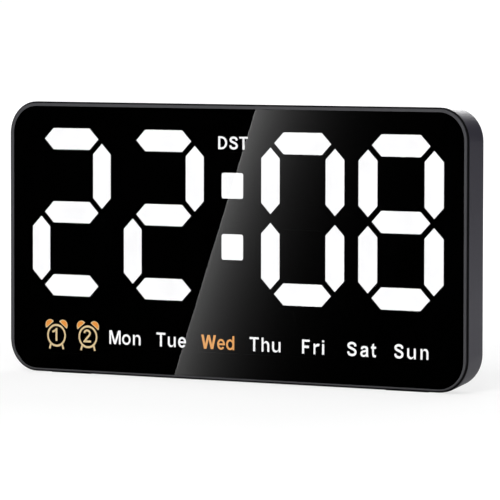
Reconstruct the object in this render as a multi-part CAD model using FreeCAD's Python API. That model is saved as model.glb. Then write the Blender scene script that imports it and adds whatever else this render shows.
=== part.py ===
import FreeCAD, Part
import math
import os

os.makedirs("parts", exist_ok=True)

# Slim LED day clock with a folding stand. Millimetres. +Z up, the display faces -Y.
# Origin: floor level under the middle of the case, halfway through its depth.

# --- digits -----------------------------------------------------------------
SEG_PITCH = 68.9          # top segment to bottom segment, centre to centre
SEG_X = 17.28             # upright segments, from the middle of the digit
SEG_T = 9.9
SEG_GAP = 4.1             # what two tips leave free along a segment line
DIGIT_PITCH = 52.0
COLON_GAP = 75.94         # digit to digit across the colon
COLON_SIDE = 11.7
COLON_R = 1.0
COLON_Z = 14.1
COLON_LIFT = 0.36         # the pair of dots sits this far above the digits' middle
LAYOUT_X = -0.1           # the whole display, from the middle of the case
DIGIT_HALF_W = SEG_X + SEG_T / 2
DIGIT_HALF_H = SEG_PITCH / 2 + SEG_T / 2
UPRIGHT_L = SEG_PITCH / 2 - SEG_GAP
FLAT_L = 2 * SEG_X - SEG_GAP
DIGIT_X = (-COLON_GAP / 2 - DIGIT_PITCH, -COLON_GAP / 2, COLON_GAP / 2, COLON_GAP / 2 + DIGIT_PITCH)
SEGMENTS = {
    "a": (0.0, SEG_PITCH / 2, False),
    "b": (SEG_X, SEG_PITCH / 4, True),
    "c": (SEG_X, -SEG_PITCH / 4, True),
    "d": (0.0, -SEG_PITCH / 2, False),
    "e": (-SEG_X, -SEG_PITCH / 4, True),
    "f": (-SEG_X, SEG_PITCH / 4, True),
    "g": (0.0, 0.0, False),
}
LIT = ("abged", "abged", "abcdef", "abcdefg")

# --- word and icon windows --------------------------------------------------
DAYS = 7
LIT_DAY = 2
DAY_W = 21.4
DAY_H = 9.6
DAY_PITCH = 25.87
DAY_MID_X = 18.1
DAY_SPACE = 18.5         # foot of the digits to the middle of the day row
ALARM_W = 15.4
ALARM_H = 17.2
ALARM_GAP = 2.5
ALARM_TO_DAYS = 2.9
ALARM_LOWER = 0.1
DST_W = 19.4
DST_H = 8.6
DST_X = 0.7
DST_LOWER = 0.35
DAY_X0 = DAY_MID_X - (DAYS - 1) / 2 * DAY_PITCH
ALARM_X1 = DAY_X0 - DAY_W / 2 - ALARM_TO_DAYS - ALARM_W / 2
ALARM_X = (ALARM_X1 - ALARM_W - ALARM_GAP, ALARM_X1)
DAY_DROP = DIGIT_HALF_H + DAY_SPACE

# --- light box round the windows, and the case round that -------------------
BOX_SIDE = 1.15
BOX_TOP = 2.15
BOX_LOW = 1.9
BOX_R = 6.0
SIDE_SPACE = 11.65
TOP_SPACE = 10.3
LOW_SPACE = 7.0
FOOT_PROUD = 0.4          # feet stand this far below the case
WINDOWS_HALF_W = max(DIGIT_X[-1] + DIGIT_HALF_W, DAY_X0 + (DAYS - 1) * DAY_PITCH + DAY_W / 2)
BOX_HALF_W = WINDOWS_HALF_W + BOX_SIDE
CASE_Z0 = FOOT_PROUD
BOX_Z0 = CASE_Z0 + LOW_SPACE
ALARM_Z = BOX_Z0 + BOX_LOW + ALARM_H / 2
DAY_Z = ALARM_Z + ALARM_LOWER
DIGIT_Z = DAY_Z + DAY_DROP
DST_Z = DIGIT_Z + SEG_PITCH / 2 - DST_LOWER
BOX_Z1 = DIGIT_Z + DIGIT_HALF_H + BOX_TOP
CASE_W = 2 * (BOX_HALF_W + SIDE_SPACE)
CASE_Z1 = BOX_Z1 + TOP_SPACE
CASE_R = 15.0             # outer corner radius seen from the front
BACK_FILLET = 2.0
WALL = 1.6
BACK_WALL = 1.8

# --- backup cell and what is stacked on it ----------------------------------
CELL_R = 10.0
CELL_T = 3.2
CELL_STEP_T = 0.5
CELL_POLE_INSET = 1.4
HOLDER_FLOOR = 0.6
CELL_HEADROOM = 0.2
LUG_T = 0.75
LUG_GAP = 0.1
CAP_RING_T = 1.0

# --- depths, front to back --------------------------------------------------
RING_T = 0.5              # trim ring thickness
CARRIER_FLANGE_T = 0.6
LENS_RECESS = 0.1
LENS_T = 0.9
MASK_T = 0.15
LIGHT_BOX_T = 5.0
BOARD_T = 1.2
REAR_SPACE = HOLDER_FLOOR + CELL_T + CELL_HEADROOM + LUG_T + LUG_GAP + CAP_RING_T
CASE_D = LENS_RECESS + LENS_T + MASK_T + LIGHT_BOX_T + BOARD_T + REAR_SPACE + BACK_WALL
FRONT_Y = -CASE_D / 2
BACK_Y = CASE_D / 2
RING_BACK_Y = FRONT_Y + RING_T
SHELL_Y = RING_BACK_Y + CARRIER_FLANGE_T
LENS_Y0 = FRONT_Y + LENS_RECESS
LENS_Y1 = LENS_Y0 + LENS_T
MASK_Y1 = LENS_Y1 + MASK_T
BOARD_Y0 = MASK_Y1 + LIGHT_BOX_T
BOARD_Y1 = BOARD_Y0 + BOARD_T
INNER_BACK_Y = BACK_Y - BACK_WALL
DIFFUSER_T = 1.2
DIFFUSER_Y1 = LENS_Y1 + DIFFUSER_T
WINDOW_GAP = 0.05         # diffuser to its window, all round
THROUGH = 1.0             # how far a cut runs past the face it opens

# --- glass window, carrier and lap joint ------------------------------------
RING_INSET = 0.65         # trim ring outline inside the case outline
RING_W = 1.45
RING_LOW_W = 0.74         # the ring is narrower along the foot
RING_EDGE_R = 0.2
GLASS_HALF_W = CASE_W / 2 - RING_INSET - RING_W
GLASS_Z0 = CASE_Z0 + RING_INSET + RING_LOW_W
GLASS_Z1 = CASE_Z1 - RING_INSET - RING_W
GLASS_R = CASE_R - RING_INSET - RING_W
LENS_GAP = 0.08           # lens to trim ring, all round
LENS_CHAMFER = 0.12
SEAT_GAP = 0.1            # lens to its rebate in the carrier
SEAT_W = 1.5              # width of the ledge the lens is bonded to
LIP_T = 1.0               # thin front lip of the housing wall
LIP_LEN = 2.5
LAP_GAP = 0.15
LEVEL_LEN = 1.0           # the top and the underside run level this far behind the carrier
UNDERSIDE_RISE = 2.3      # then the underside climbs this much on its way to the back
TOP_FALL = 0.35           # and the top comes down this much
DRAFT_Y = SHELL_Y + LEVEL_LEN
UNDERSIDE_SLOPE = UNDERSIDE_RISE / (BACK_Y - DRAFT_Y)
TOP_SLOPE = TOP_FALL / (BACK_Y - DRAFT_Y)
CARRIER_Y1 = SHELL_Y + LIP_LEN - LAP_GAP
CARRIER_OPEN_EXTRA_R = 5.0
CARRIER_OPEN_R = CASE_R + CARRIER_OPEN_EXTRA_R

# --- board ------------------------------------------------------------------
BOARD_INSET_X = 1.5
BOARD_INSET_Z = 1.0
BOARD_R = 3.0
BOARD_HALF_W = BOX_HALF_W - BOARD_INSET_X
BOARD_Z0 = BOX_Z0 + BOARD_INSET_Z
BOARD_Z1 = BOX_Z1 - BOARD_INSET_Z
LED_L = 3.5
LED_W = 2.8
LED_H = 1.4
LED_LENS_R = 1.05
LED_LENS_DEPTH = 0.3
DAY_LED_X = 5.0
CHIP_H = 7.5              # both flat chips, across their legs' rows
CHIP_T = 2.2
CHIP_LIFT = 0.1
LEG_PITCH = 1.27
LEG_W = 0.4
LEG_REACH = 1.2
LEG_T = 0.15
DRIVER_W = 15.4
DRIVER_LEGS = 12
DRIVER_X = 42.0
DRIVER_DROP = 9.5
DRIVER_Z = DIGIT_Z - DRIVER_DROP
CLOCK_CHIP_W = 10.3
CLOCK_CHIP_LEGS = 8
CLOCK_CHIP_X = -40.0
CLOCK_CHIP_DROP = 35.5
CLOCK_CHIP_Z = DIGIT_Z - CLOCK_CHIP_DROP
CRYSTAL_R = 1.0
CRYSTAL_L = 6.2
CRYSTAL_LEAD_R = 0.18
CRYSTAL_LEAD_L = 1.6
CRYSTAL_BELOW = 10.5
CAN_R = 3.15
CAN_H = 5.2
CAN_BASE = 6.6
CAN_BASE_T = 0.8
CAN_PITCH = 9.0
CAN_SIDE_INSET = 20.0
CAN_X = CAN_SIDE_INSET - BOARD_HALF_W
SMALL_CAP_L = 1.6
SMALL_CAP_W = 0.8
SMALL_CAP_X = (10.0, 14.0)
SMALL_CAP_Z = (9.5, 12.5)
ROUND_SIDE_INSET = 43.0   # buzzer and cell, in from the case sides
ROUND_DROP = 27.5
BUZZER_X = ROUND_SIDE_INSET - CASE_W / 2
BUZZER_Z = DIGIT_Z - ROUND_DROP
BUZZER_R = 6.0
BUZZER_H = 4.6
BUZZER_PORT_R = 1.2
BUZZER_PORT_DEPTH = 0.8
SOUND_HOLE_R = 0.8
SOUND_PITCH = 3.2

# --- fixings ----------------------------------------------------------------
POST_INSET_X = 8.5        # corner screws, in from the case sides
POST_INSET_Z = 8.2        # and from its top and from the back end of its underside
TOP_SCREW_INSET = 6.3
POST_R = 2.6
POST_L = 6.85
POST_Y1 = MASK_Y1 + POST_L
BOSS_R = 3.5
BOSS_GAP = 0.05
BLEND_IN = 0.5            # how far inner features run into the back wall
SHANK_R = 1.1
THREAD_GAP = 0.02
BORE_SPARE = 0.4          # bore left beyond the screw's end
SCREW_HOLE_R = 1.35
HEAD_R = 2.2
HEAD_T = 1.3
COUNTERBORE_R = 2.6
COUNTERBORE_DEPTH = 2.6
HEAD_SEAT_Y = BACK_Y - COUNTERBORE_DEPTH
CASE_SCREW_L = 8.2
RECESS_W = 0.55
RECESS_SPAN = 1.1         # cross recess, as a share of the head's radius
SCREWS_XZ = (
    (CASE_W / 2 - POST_INSET_X, CASE_Z1 - POST_INSET_Z),
    (POST_INSET_X - CASE_W / 2, CASE_Z1 - POST_INSET_Z),
    (CASE_W / 2 - POST_INSET_X, CASE_Z0 + UNDERSIDE_RISE + POST_INSET_Z),
    (POST_INSET_X - CASE_W / 2, CASE_Z0 + UNDERSIDE_RISE + POST_INSET_Z),
    (0.0, CASE_Z1 - TOP_SCREW_INSET),
)
BOARD_SHANK_R = 0.95
BOARD_HOLE_R = 1.15
BOARD_HEAD_R = 1.9
BOARD_HEAD_T = 1.2
BOARD_SCREW_L = 5.0
BOARD_SCREW_X = COLON_GAP / 2 + DIGIT_PITCH / 2
BOARD_SCREW_RISE = 30.0
MID_SCREW_DROP = 24.0
BOARD_SCREWS_XZ = (
    (BOARD_SCREW_X, DIGIT_Z - BOARD_SCREW_RISE),
    (-BOARD_SCREW_X, DIGIT_Z - BOARD_SCREW_RISE),
    (BOARD_SCREW_X, DIGIT_Z + BOARD_SCREW_RISE),
    (-BOARD_SCREW_X, DIGIT_Z + BOARD_SCREW_RISE),
    (0.0, DIGIT_Z - MID_SCREW_DROP),
)
PILLAR_R = 2.0
PILLAR_SIDE_INSET = 10.5
PILLAR_MID_X = 56.0
PILLAR_LOW_X = 30.0
PILLAR_RISE = 2.1
PILLAR_HIGH_Z = DIGIT_Z + PILLAR_RISE
PILLAR_UP = 14.6
PILLAR_LOW_Z = BOX_Z0 + PILLAR_UP
PILLARS_XZ = (
    (PILLAR_MID_X, PILLAR_HIGH_Z),
    (BOX_HALF_W - PILLAR_SIDE_INSET, PILLAR_HIGH_Z),
    (PILLAR_LOW_X, PILLAR_LOW_Z),
    (BOX_HALF_W - PILLAR_SIDE_INSET, PILLAR_LOW_Z),
)

# --- keyholes for wall hanging ----------------------------------------------
KEY_SPACING = 150.0
KEY_BELOW_TOP = 26.35
KEY_Z = CASE_Z1 - KEY_BELOW_TOP
KEY_ENTRY_R = 4.3
KEY_SLOT_R = 2.2
KEY_DROP = 7.5

# --- folding stand ----------------------------------------------------------
TIP_LIFT = 0.9
TIP_H = 3.3
LEG_LENGTH = 68.4         # rubber end to hinge
STAND_HALF_W = 12.2
STAND_T = 2.45
SKIN_SINK = 0.15          # moving pieces sit this far below the back
STAND_FACE_Y = BACK_Y - SKIN_SINK
STAND_Y0 = STAND_FACE_Y - STAND_T
TIP_Z0 = CASE_Z0 + UNDERSIDE_RISE + TIP_LIFT
TIP_Z1 = TIP_Z0 + TIP_H
HINGE_Z = TIP_Z0 + LEG_LENGTH
BARREL_R = 1.6
HINGE_Y = STAND_FACE_Y - BARREL_R
PIN_R = 1.0
PIN_FIT = 0.05
PRESS_GAP = 0.01
PIN_GRIP = 4.3            # pin held in the housing at each end
PIN_END_GAP = 0.2
PIN_CHAMFER = 0.2
HEEL = 2.05
TENON_HALF_W = 8.0
TENON_L = 2.4
TENON_T = 0.9
TENON_GAP = 0.03
RELIEF_EDGE = 2.0
RELIEF_DEPTH = 0.9
RELIEF_LOW = 8.0
RELIEF_HIGH = 6.0
GRIPS = 4
GRIP_HALF_W = 8.0
GRIP_W = 0.8
GRIP_PITCH = 1.8
GRIP_DEPTH = 0.35
GRIP_UP = 3.2
WELL_GAP = 0.3
WELL_HALF_W = STAND_HALF_W + WELL_GAP
WELL_DEPTH = 3.6
WELL_Y = BACK_Y - WELL_DEPTH
WELL_WALL = 1.2
WELL_ABOVE = 3.0
WELL_Z1 = HINGE_Z + WELL_ABOVE
PIN_HALF_L = STAND_HALF_W + PIN_GRIP
HINGE_BLOCK_SPARE = 2.5
HINGE_BLOCK_X = PIN_HALF_L + HINGE_BLOCK_SPARE
HINGE_BLOCK_BELOW = 3.5

# --- buttons ----------------------------------------------------------------
BUTTON_NAMES = ("set", "down", "up", "alarm", "dim")
BUTTON_PITCH = 22.0
BUTTON_BELOW_TOP = 29.35
BUTTON_Z = CASE_Z1 - BUTTON_BELOW_TOP
BUTTON_X = tuple((i - (len(BUTTON_NAMES) - 1) / 2) * BUTTON_PITCH for i in range(len(BUTTON_NAMES)))
BUTTON_R = 4.0
BUTTON_GAP = 0.15
BUTTON_SINK = 0.1
BUTTON_EDGE_R = 0.5
BUTTON_FACE_Y = BACK_Y - BUTTON_SINK
BUTTON_FLANGE_R = 5.2
BUTTON_FLANGE_T = 0.7
BUTTON_STOP_GAP = 0.05
BUTTON_STEM_R = 1.6
BUTTON_TRAVEL = 0.5
SWITCH_SIDE = 6.2
SWITCH_H = 3.4
SWITCH_Y1 = BOARD_Y1 + SWITCH_H
PLUNGER_R = 1.7
PLUNGER_GAP = 0.05
PLUNGER_PROUD = 0.7
PLUNGER_BURIED = 0.6
PLUNGER_SPARE = 0.1

# --- cell holder and twist cap ----------------------------------------------
CELL_X = CASE_W / 2 - ROUND_SIDE_INSET
CELL_Z = DIGIT_Z - ROUND_DROP
CELL_GAP = 0.3
CELL_EDGE_R = 0.3
HOLDER_WALL = 1.3
HOLDER_RIM = 2.2
HOLDER_GATE_W = 9.0
HOLDER_GATE_L = 8.0
CONTACT_W = 4.8
CONTACT_T = 0.25
CONTACT_H = 3.0
CONTACT_FOOT = 2.4
CONTACT_CLEAR = 0.3
CAP_R = 12.0
CAP_GAP = 0.15
CAP_EDGE_R = 0.3
CAP_HUB_R = 10.6
CAP_HUB_WALL = 1.4
CAP_HUB_FIT = 0.08
CAP_LEDGE_T = 0.3
CAP_SEAT_Y = INNER_BACK_Y + CAP_LEDGE_T
CAP_RING_Y0 = INNER_BACK_Y - CAP_RING_T
CAP_RING_R = 14.0
CAP_SINK = 0.1
LUG_R = 12.0
LUG_Y1 = CAP_RING_Y0 - LUG_GAP
LUG_Y0 = LUG_Y1 - LUG_T
LUG_SPAN = 24.0           # degrees
NOTCH_SPAN = 30.0
CAP_TURN = 45.0
COIN_SLOT_W = 1.8
COIN_SLOT_L = 13.0
COIN_SLOT_DEPTH = 0.8

# --- power inlet in the left side wall --------------------------------------
USB_UP = 27.0
USB_Z = BOX_Z0 + USB_UP
USB_W = 8.94
USB_H = 3.2
USB_L = 7.3
USB_WALL = 0.3
USB_BACK_T = 1.0
USB_GAP = 0.15
USB_SINK = 0.2
USB_ROUND_GAP = 0.02
USB_FACE_X = USB_SINK - CASE_W / 2
TONGUE_T = 0.7
TONGUE_W = 6.6
TONGUE_SINK = 0.8
BOARD_EAR_HALF = 9.0
BOARD_EAR_ROOT = 5.0
BOARD_EAR_GAP = 1.9
BOARD_EAR_X = WALL + BOARD_EAR_GAP - CASE_W / 2

# --- feet -------------------------------------------------------------------
FOOT_INSET = 33.0
FOOT_X = CASE_W / 2 - FOOT_INSET
FOOT_L = 22.0
FOOT_HALF_D = 4.6
FOOT_SUNK = 0.6


def box(x0, x1, y0, y1, z0, z1):
    return Part.makeBox(x1 - x0, y1 - y0, z1 - z0, FreeCAD.Vector(x0, y0, z0))


def block(x, z, w, h, y0, y1):
    return box(x - w / 2, x + w / 2, y0, y1, z - h / 2, z + h / 2)


def disc(r, x, z, y0, y1):
    return Part.makeCylinder(r, y1 - y0, FreeCAD.Vector(x, y0, z), FreeCAD.Vector(0, 1, 0))


def rod_x(r, y, z, x0, x1):
    return Part.makeCylinder(r, x1 - x0, FreeCAD.Vector(x0, y, z), FreeCAD.Vector(1, 0, 0))


def sector(r, x, z, y0, y1, middle, span):
    """Pie slice about a depth-wise axis, centred on one direction in degrees."""
    wedge = Part.makeCylinder(r, y1 - y0, FreeCAD.Vector(x, y0, z), FreeCAD.Vector(0, 1, 0), span)
    wedge.rotate(FreeCAD.Vector(x, 0, z), FreeCAD.Vector(0, 1, 0), middle - span / 2)
    return wedge


def plate(half_w, z0, z1, r, y0, y1, x=0.0):
    """Rounded rectangle facing the front, between two depths."""
    solid = box(x - half_w, x + half_w, y0, y1, z0, z1)
    corners = [e for e in solid.Edges if e.BoundBox.YLength > e.BoundBox.XLength + e.BoundBox.ZLength]
    return solid.makeFillet(r, corners)


def inset_plate(inset, y0, y1):
    """Case outline moved inward by one distance."""
    return plate(CASE_W / 2 - inset, CASE_Z0 + inset, CASE_Z1 - inset, CASE_R - inset, y0, y1)


def drafted_plate(inset, y0, y1):
    """Case outline moved inward; behind DRAFT_Y its underside climbs and its top comes down."""
    level = inset_plate(inset, y0, DRAFT_Y)
    start = [f for f in level.Faces if f.BoundBox.YMin > DRAFT_Y - 1e-5][0]
    reach = y1 - DRAFT_Y
    climbing = start.extrude(FreeCAD.Vector(0, reach, reach * UNDERSIDE_SLOPE))
    falling = start.extrude(FreeCAD.Vector(0, reach, -reach * TOP_SLOPE))
    return level.fuse(climbing.common(falling)).removeSplitter()


def edges_at_y(solid, y):
    found = []
    for edge in solid.Edges:
        bounds = edge.BoundBox
        if abs(bounds.YMin - y) < 1e-5 and abs(bounds.YMax - y) < 1e-5:
            found.append(edge)
    return found


def fuse_all(shapes):
    return shapes[0].multiFuse(shapes[1:]).removeSplitter()


def compound(shapes):
    return Part.makeCompound(shapes)


def export(name, shape):
    shape.exportStep("parts/" + name + ".step")


# --- display windows --------------------------------------------------------
def segment(x, z, upright, grow, y0, y1):
    """Six-sided bar with 45 degree tips, grown outward on every side."""
    half_t = SEG_T / 2 + grow
    half_l = (UPRIGHT_L if upright else FLAT_L) / 2 + grow * math.sqrt(2)
    along = half_l - half_t
    top = [(-half_l, 0), (-along, half_t), (along, half_t)]
    outline = top + [(-u, -v) for u, v in top]
    points = []
    for u, v in outline:
        du, dv = (v, u) if upright else (u, v)
        points.append(FreeCAD.Vector(x + du, y0, z + dv))
    face = Part.Face(Part.makePolygon(points + points[:1]))
    return face.extrude(FreeCAD.Vector(0, y1 - y0, 0))


def digit_segments(index, letters, grow, y0, y1):
    bars = []
    for letter in letters:
        dx, dz, upright = SEGMENTS[letter]
        bars.append(segment(LAYOUT_X + DIGIT_X[index] + dx, DIGIT_Z + dz, upright, grow, y0, y1))
    return bars


def colon_dots(grow, y0, y1):
    half = COLON_SIDE / 2 + grow
    dots = []
    for side in (-1, 1):
        z = DIGIT_Z + COLON_LIFT + side * COLON_Z
        dots.append(plate(half, z - half, z + half, COLON_R + grow, y0, y1, LAYOUT_X))
    return dots


def day_x(index):
    return LAYOUT_X + DAY_X0 + index * DAY_PITCH


def day_blocks(indices, grow, y0, y1):
    return [block(day_x(i), DAY_Z, DAY_W + 2 * grow, DAY_H + 2 * grow, y0, y1) for i in indices]


def alarm_blocks(grow, y0, y1):
    w = ALARM_W + 2 * grow
    h = ALARM_H + 2 * grow
    return [block(LAYOUT_X + x, ALARM_Z, w, h, y0, y1) for x in ALARM_X]


def dst_block(grow, y0, y1):
    return block(LAYOUT_X + DST_X, DST_Z, DST_W + 2 * grow, DST_H + 2 * grow, y0, y1)


def all_windows(y0, y1):
    shapes = colon_dots(WINDOW_GAP, y0, y1)
    for index in range(len(DIGIT_X)):
        shapes += digit_segments(index, SEGMENTS, WINDOW_GAP, y0, y1)
    shapes += day_blocks(range(DAYS), WINDOW_GAP, y0, y1)
    shapes += alarm_blocks(WINDOW_GAP, y0, y1)
    shapes.append(dst_block(WINDOW_GAP, y0, y1))
    return shapes


# --- front parts ------------------------------------------------------------
def trim_ring():
    ring = inset_plate(RING_INSET, FRONT_Y, RING_BACK_Y)
    ring = ring.makeFillet(RING_EDGE_R, edges_at_y(ring, FRONT_Y))
    return ring.cut(lens_outline(0.0, FRONT_Y - THROUGH, RING_BACK_Y + THROUGH))


def lens_outline(gap, y0, y1):
    """The glass window, moved inward by a gap."""
    return plate(GLASS_HALF_W - gap, GLASS_Z0 + gap, GLASS_Z1 - gap, GLASS_R - gap, y0, y1)


def front_lens():
    lens = lens_outline(LENS_GAP, LENS_Y0, LENS_Y1)
    return lens.makeChamfer(LENS_CHAMFER, edges_at_y(lens, LENS_Y0))


def display_mask():
    film = lens_outline(LENS_GAP, LENS_Y1, MASK_Y1)
    return film.cut(all_windows(LENS_Y1 - THROUGH, MASK_Y1 + THROUGH))


def front_carrier():
    flange = inset_plate(0.0, RING_BACK_Y, SHELL_Y)
    body = flange.fuse(inset_plate(LIP_T + LAP_GAP, SHELL_Y, CARRIER_Y1))
    rebate = lens_outline(LENS_GAP - SEAT_GAP, RING_BACK_Y - THROUGH, MASK_Y1)
    open_half_w = GLASS_HALF_W - SEAT_W
    open_z0 = GLASS_Z0 + SEAT_W
    open_z1 = GLASS_Z1 - SEAT_W
    opening = plate(open_half_w, open_z0, open_z1, CARRIER_OPEN_R, MASK_Y1 - THROUGH, CARRIER_Y1 + THROUGH)
    body = body.cut([rebate, opening])
    posts = [disc(POST_R, x, z, MASK_Y1, POST_Y1) for x, z in SCREWS_XZ]
    top_x, top_z = SCREWS_XZ[-1]
    web = box(top_x - POST_R, top_x + POST_R, MASK_Y1, CARRIER_Y1, top_z, open_z1 + LIP_T)
    body = fuse_all([body, web] + posts)
    bore_y0 = HEAD_SEAT_Y - CASE_SCREW_L - BORE_SPARE
    bores = [disc(SHANK_R + THREAD_GAP, x, z, bore_y0, POST_Y1 + THROUGH) for x, z in SCREWS_XZ]
    return body.cut(bores)


def segment_reflector():
    body = plate(BOX_HALF_W, BOX_Z0, BOX_Z1, BOX_R, MASK_Y1, BOARD_Y0)
    pilot_y0 = BOARD_Y1 - BOARD_SCREW_L - BORE_SPARE
    pilot_r = BOARD_SHANK_R + THREAD_GAP
    pilots = [disc(pilot_r, x, z, pilot_y0, BOARD_Y0 + THROUGH) for x, z in BOARD_SCREWS_XZ]
    return body.cut(all_windows(MASK_Y1 - THROUGH, BOARD_Y0 + THROUGH) + pilots)


# --- board and what it carries ----------------------------------------------
def main_board():
    board = plate(BOARD_HALF_W, BOARD_Z0, BOARD_Z1, BOARD_R, BOARD_Y0, BOARD_Y1)
    ear_x1 = BOARD_EAR_ROOT - BOARD_HALF_W
    ear = box(BOARD_EAR_X, ear_x1, BOARD_Y0, BOARD_Y1, USB_Z - BOARD_EAR_HALF, USB_Z + BOARD_EAR_HALF)
    board = fuse_all([board, ear])
    holes = [disc(BOARD_HOLE_R, x, z, BOARD_Y0 - THROUGH, BOARD_Y1 + THROUGH) for x, z in BOARD_SCREWS_XZ]
    return board.cut(holes)


def led(x, z, upright):
    w, h = (LED_W, LED_L) if upright else (LED_L, LED_W)
    face_y = BOARD_Y0 - LED_H
    base = block(x, z, w, h, face_y, BOARD_Y0)
    return base.cut(disc(LED_LENS_R, x, z, face_y - THROUGH, face_y + LED_LENS_DEPTH))


def segment_leds():
    """Two chips behind each segment, a quarter of its length from its middle, and one per colon dot."""
    chips = []
    for digit_x in DIGIT_X:
        for dx, dz, upright in SEGMENTS.values():
            x = LAYOUT_X + digit_x + dx
            z = DIGIT_Z + dz
            for side in (-1, 1):
                if upright:
                    chips.append(led(x, z + side * UPRIGHT_L / 4, upright))
                else:
                    chips.append(led(x + side * FLAT_L / 4, z, upright))
    chips += [led(LAYOUT_X, DIGIT_Z + COLON_LIFT + side * COLON_Z, False) for side in (-1, 1)]
    return compound(chips)


def indicator_leds():
    chips = [led(day_x(i) + side * DAY_LED_X, DAY_Z, False) for i in range(DAYS) for side in (-1, 1)]
    chips += [led(LAYOUT_X + x, ALARM_Z, False) for x in ALARM_X]
    chips.append(led(LAYOUT_X + DST_X, DST_Z, False))
    return compound(chips)


def gull_wing_chip(x, z, w, legs):
    """Flat chip with a row of bent legs on its two long sides."""
    body_y0 = BOARD_Y1 + CHIP_LIFT
    knee_y = body_y0 + CHIP_T / 2
    parts = [block(x, z, w, CHIP_H, body_y0, body_y0 + CHIP_T)]
    for side in (-1, 1):
        edge = z + side * CHIP_H / 2
        riser_z = edge + side * LEG_REACH / 3
        for i in range(legs):
            leg_x = x + (i - (legs - 1) / 2) * LEG_PITCH
            foot_z = edge + side * LEG_REACH * 2 / 3
            parts.append(block(leg_x, foot_z, LEG_W, LEG_REACH * 2 / 3 + LEG_T, BOARD_Y1, BOARD_Y1 + LEG_T))
            parts.append(block(leg_x, riser_z, LEG_W, LEG_T, BOARD_Y1, knee_y))
            parts.append(block(leg_x, edge, LEG_W, LEG_REACH * 2 / 3 + LEG_T, knee_y - LEG_T, knee_y))
    return fuse_all(parts)


def driver_chips():
    return compound([gull_wing_chip(side * DRIVER_X, DRIVER_Z, DRIVER_W, DRIVER_LEGS) for side in (-1, 1)])


def clock_chip():
    return gull_wing_chip(CLOCK_CHIP_X, CLOCK_CHIP_Z, CLOCK_CHIP_W, CLOCK_CHIP_LEGS)


def crystal():
    y = BOARD_Y1 + CRYSTAL_R
    z = CLOCK_CHIP_Z - CRYSTAL_BELOW
    x0 = CLOCK_CHIP_X - CRYSTAL_L / 2
    x1 = x0 + CRYSTAL_L
    can = rod_x(CRYSTAL_R, y, z, x0, x1)
    lead_x0 = x1 - CRYSTAL_LEAD_R
    lead_x1 = x1 + CRYSTAL_LEAD_L
    leads = [rod_x(CRYSTAL_LEAD_R, y, z + side * CRYSTAL_R / 2, lead_x0, lead_x1) for side in (-1, 1)]
    return fuse_all([can] + leads)


def electrolytic(x, z):
    base = block(x, z, CAN_BASE, CAN_BASE, BOARD_Y1, BOARD_Y1 + CAN_BASE_T)
    return fuse_all([base, disc(CAN_R, x, z, BOARD_Y1 + CAN_BASE_T / 2, BOARD_Y1 + CAN_H)])


def capacitors():
    shapes = [electrolytic(CAN_X, USB_Z), electrolytic(CAN_X, USB_Z - CAN_PITCH)]
    top_y = BOARD_Y1 + SMALL_CAP_W
    for side in (-1, 1):
        for dx in SMALL_CAP_X:
            for dz in SMALL_CAP_Z:
                x = side * (DRIVER_X + dx)
                shapes.append(block(x, DRIVER_Z - dz, SMALL_CAP_L, SMALL_CAP_W, BOARD_Y1, top_y))
    return compound(shapes)


def buzzer():
    top_y = BOARD_Y1 + BUZZER_H
    body = disc(BUZZER_R, BUZZER_X, BUZZER_Z, BOARD_Y1, top_y)
    return body.cut(disc(BUZZER_PORT_R, BUZZER_X, BUZZER_Z, top_y - BUZZER_PORT_DEPTH, top_y + THROUGH))


def cell_holder():
    floor_y = BOARD_Y1 + HOLDER_FLOOR
    open_y = floor_y + HOLDER_RIM + THROUGH
    outer = disc(CELL_R + CELL_GAP + HOLDER_WALL, CELL_X, CELL_Z, BOARD_Y1, floor_y + HOLDER_RIM)
    pocket = disc(CELL_R + CELL_GAP, CELL_X, CELL_Z, floor_y, open_y)
    gate = block(CELL_X, CELL_Z - CELL_R, HOLDER_GATE_W, HOLDER_GATE_L, floor_y, open_y)
    slot_x = CELL_X + CELL_R + HOLDER_WALL
    slot_h = CONTACT_W + 2 * CONTACT_CLEAR
    contact_slot = block(slot_x, CELL_Z, 2 * CONTACT_FOOT, slot_h, BOARD_Y1 - THROUGH, open_y)
    return outer.cut([pocket, gate, contact_slot])


def cell_contact():
    """Bent side spring: foot on the board, blade beside the cell."""
    x0 = CELL_X + CELL_R + CELL_GAP / 2
    z0 = CELL_Z - CONTACT_W / 2
    z1 = CELL_Z + CONTACT_W / 2
    blade = box(x0, x0 + CONTACT_T, BOARD_Y1, BOARD_Y1 + CONTACT_H, z0, z1)
    return fuse_all([blade, box(x0, x0 + CONTACT_FOOT, BOARD_Y1, BOARD_Y1 + CONTACT_T, z0, z1)])


def backup_cell():
    y0 = BOARD_Y1 + HOLDER_FLOOR
    can = disc(CELL_R, CELL_X, CELL_Z, y0 + CELL_STEP_T, y0 + CELL_T)
    can = can.makeFillet(CELL_EDGE_R, edges_at_y(can, y0 + CELL_T))
    return fuse_all([can, disc(CELL_R - CELL_POLE_INSET, CELL_X, CELL_Z, y0, y0 + CELL_STEP_T)])


def usb_profile(inset, x0, x1):
    """Rounded flat opening of the power socket, moved inward by one distance."""
    half_w = USB_W / 2 - inset
    half_h = USB_H / 2 - inset
    y = BOARD_Y1 + USB_H / 2
    solid = box(x0, x1, y - half_h, y + half_h, USB_Z - half_w, USB_Z + half_w)
    long_edges = [e for e in solid.Edges if abs(e.Vertexes[0].X - e.Vertexes[-1].X) > 1e-6]
    return solid.makeFillet(half_h - USB_ROUND_GAP, long_edges)


def power_socket():
    shell = usb_profile(0.0, USB_FACE_X, USB_FACE_X + USB_L)
    return shell.cut(usb_profile(USB_WALL, USB_FACE_X - THROUGH, USB_FACE_X + USB_L - USB_BACK_T))


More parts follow.
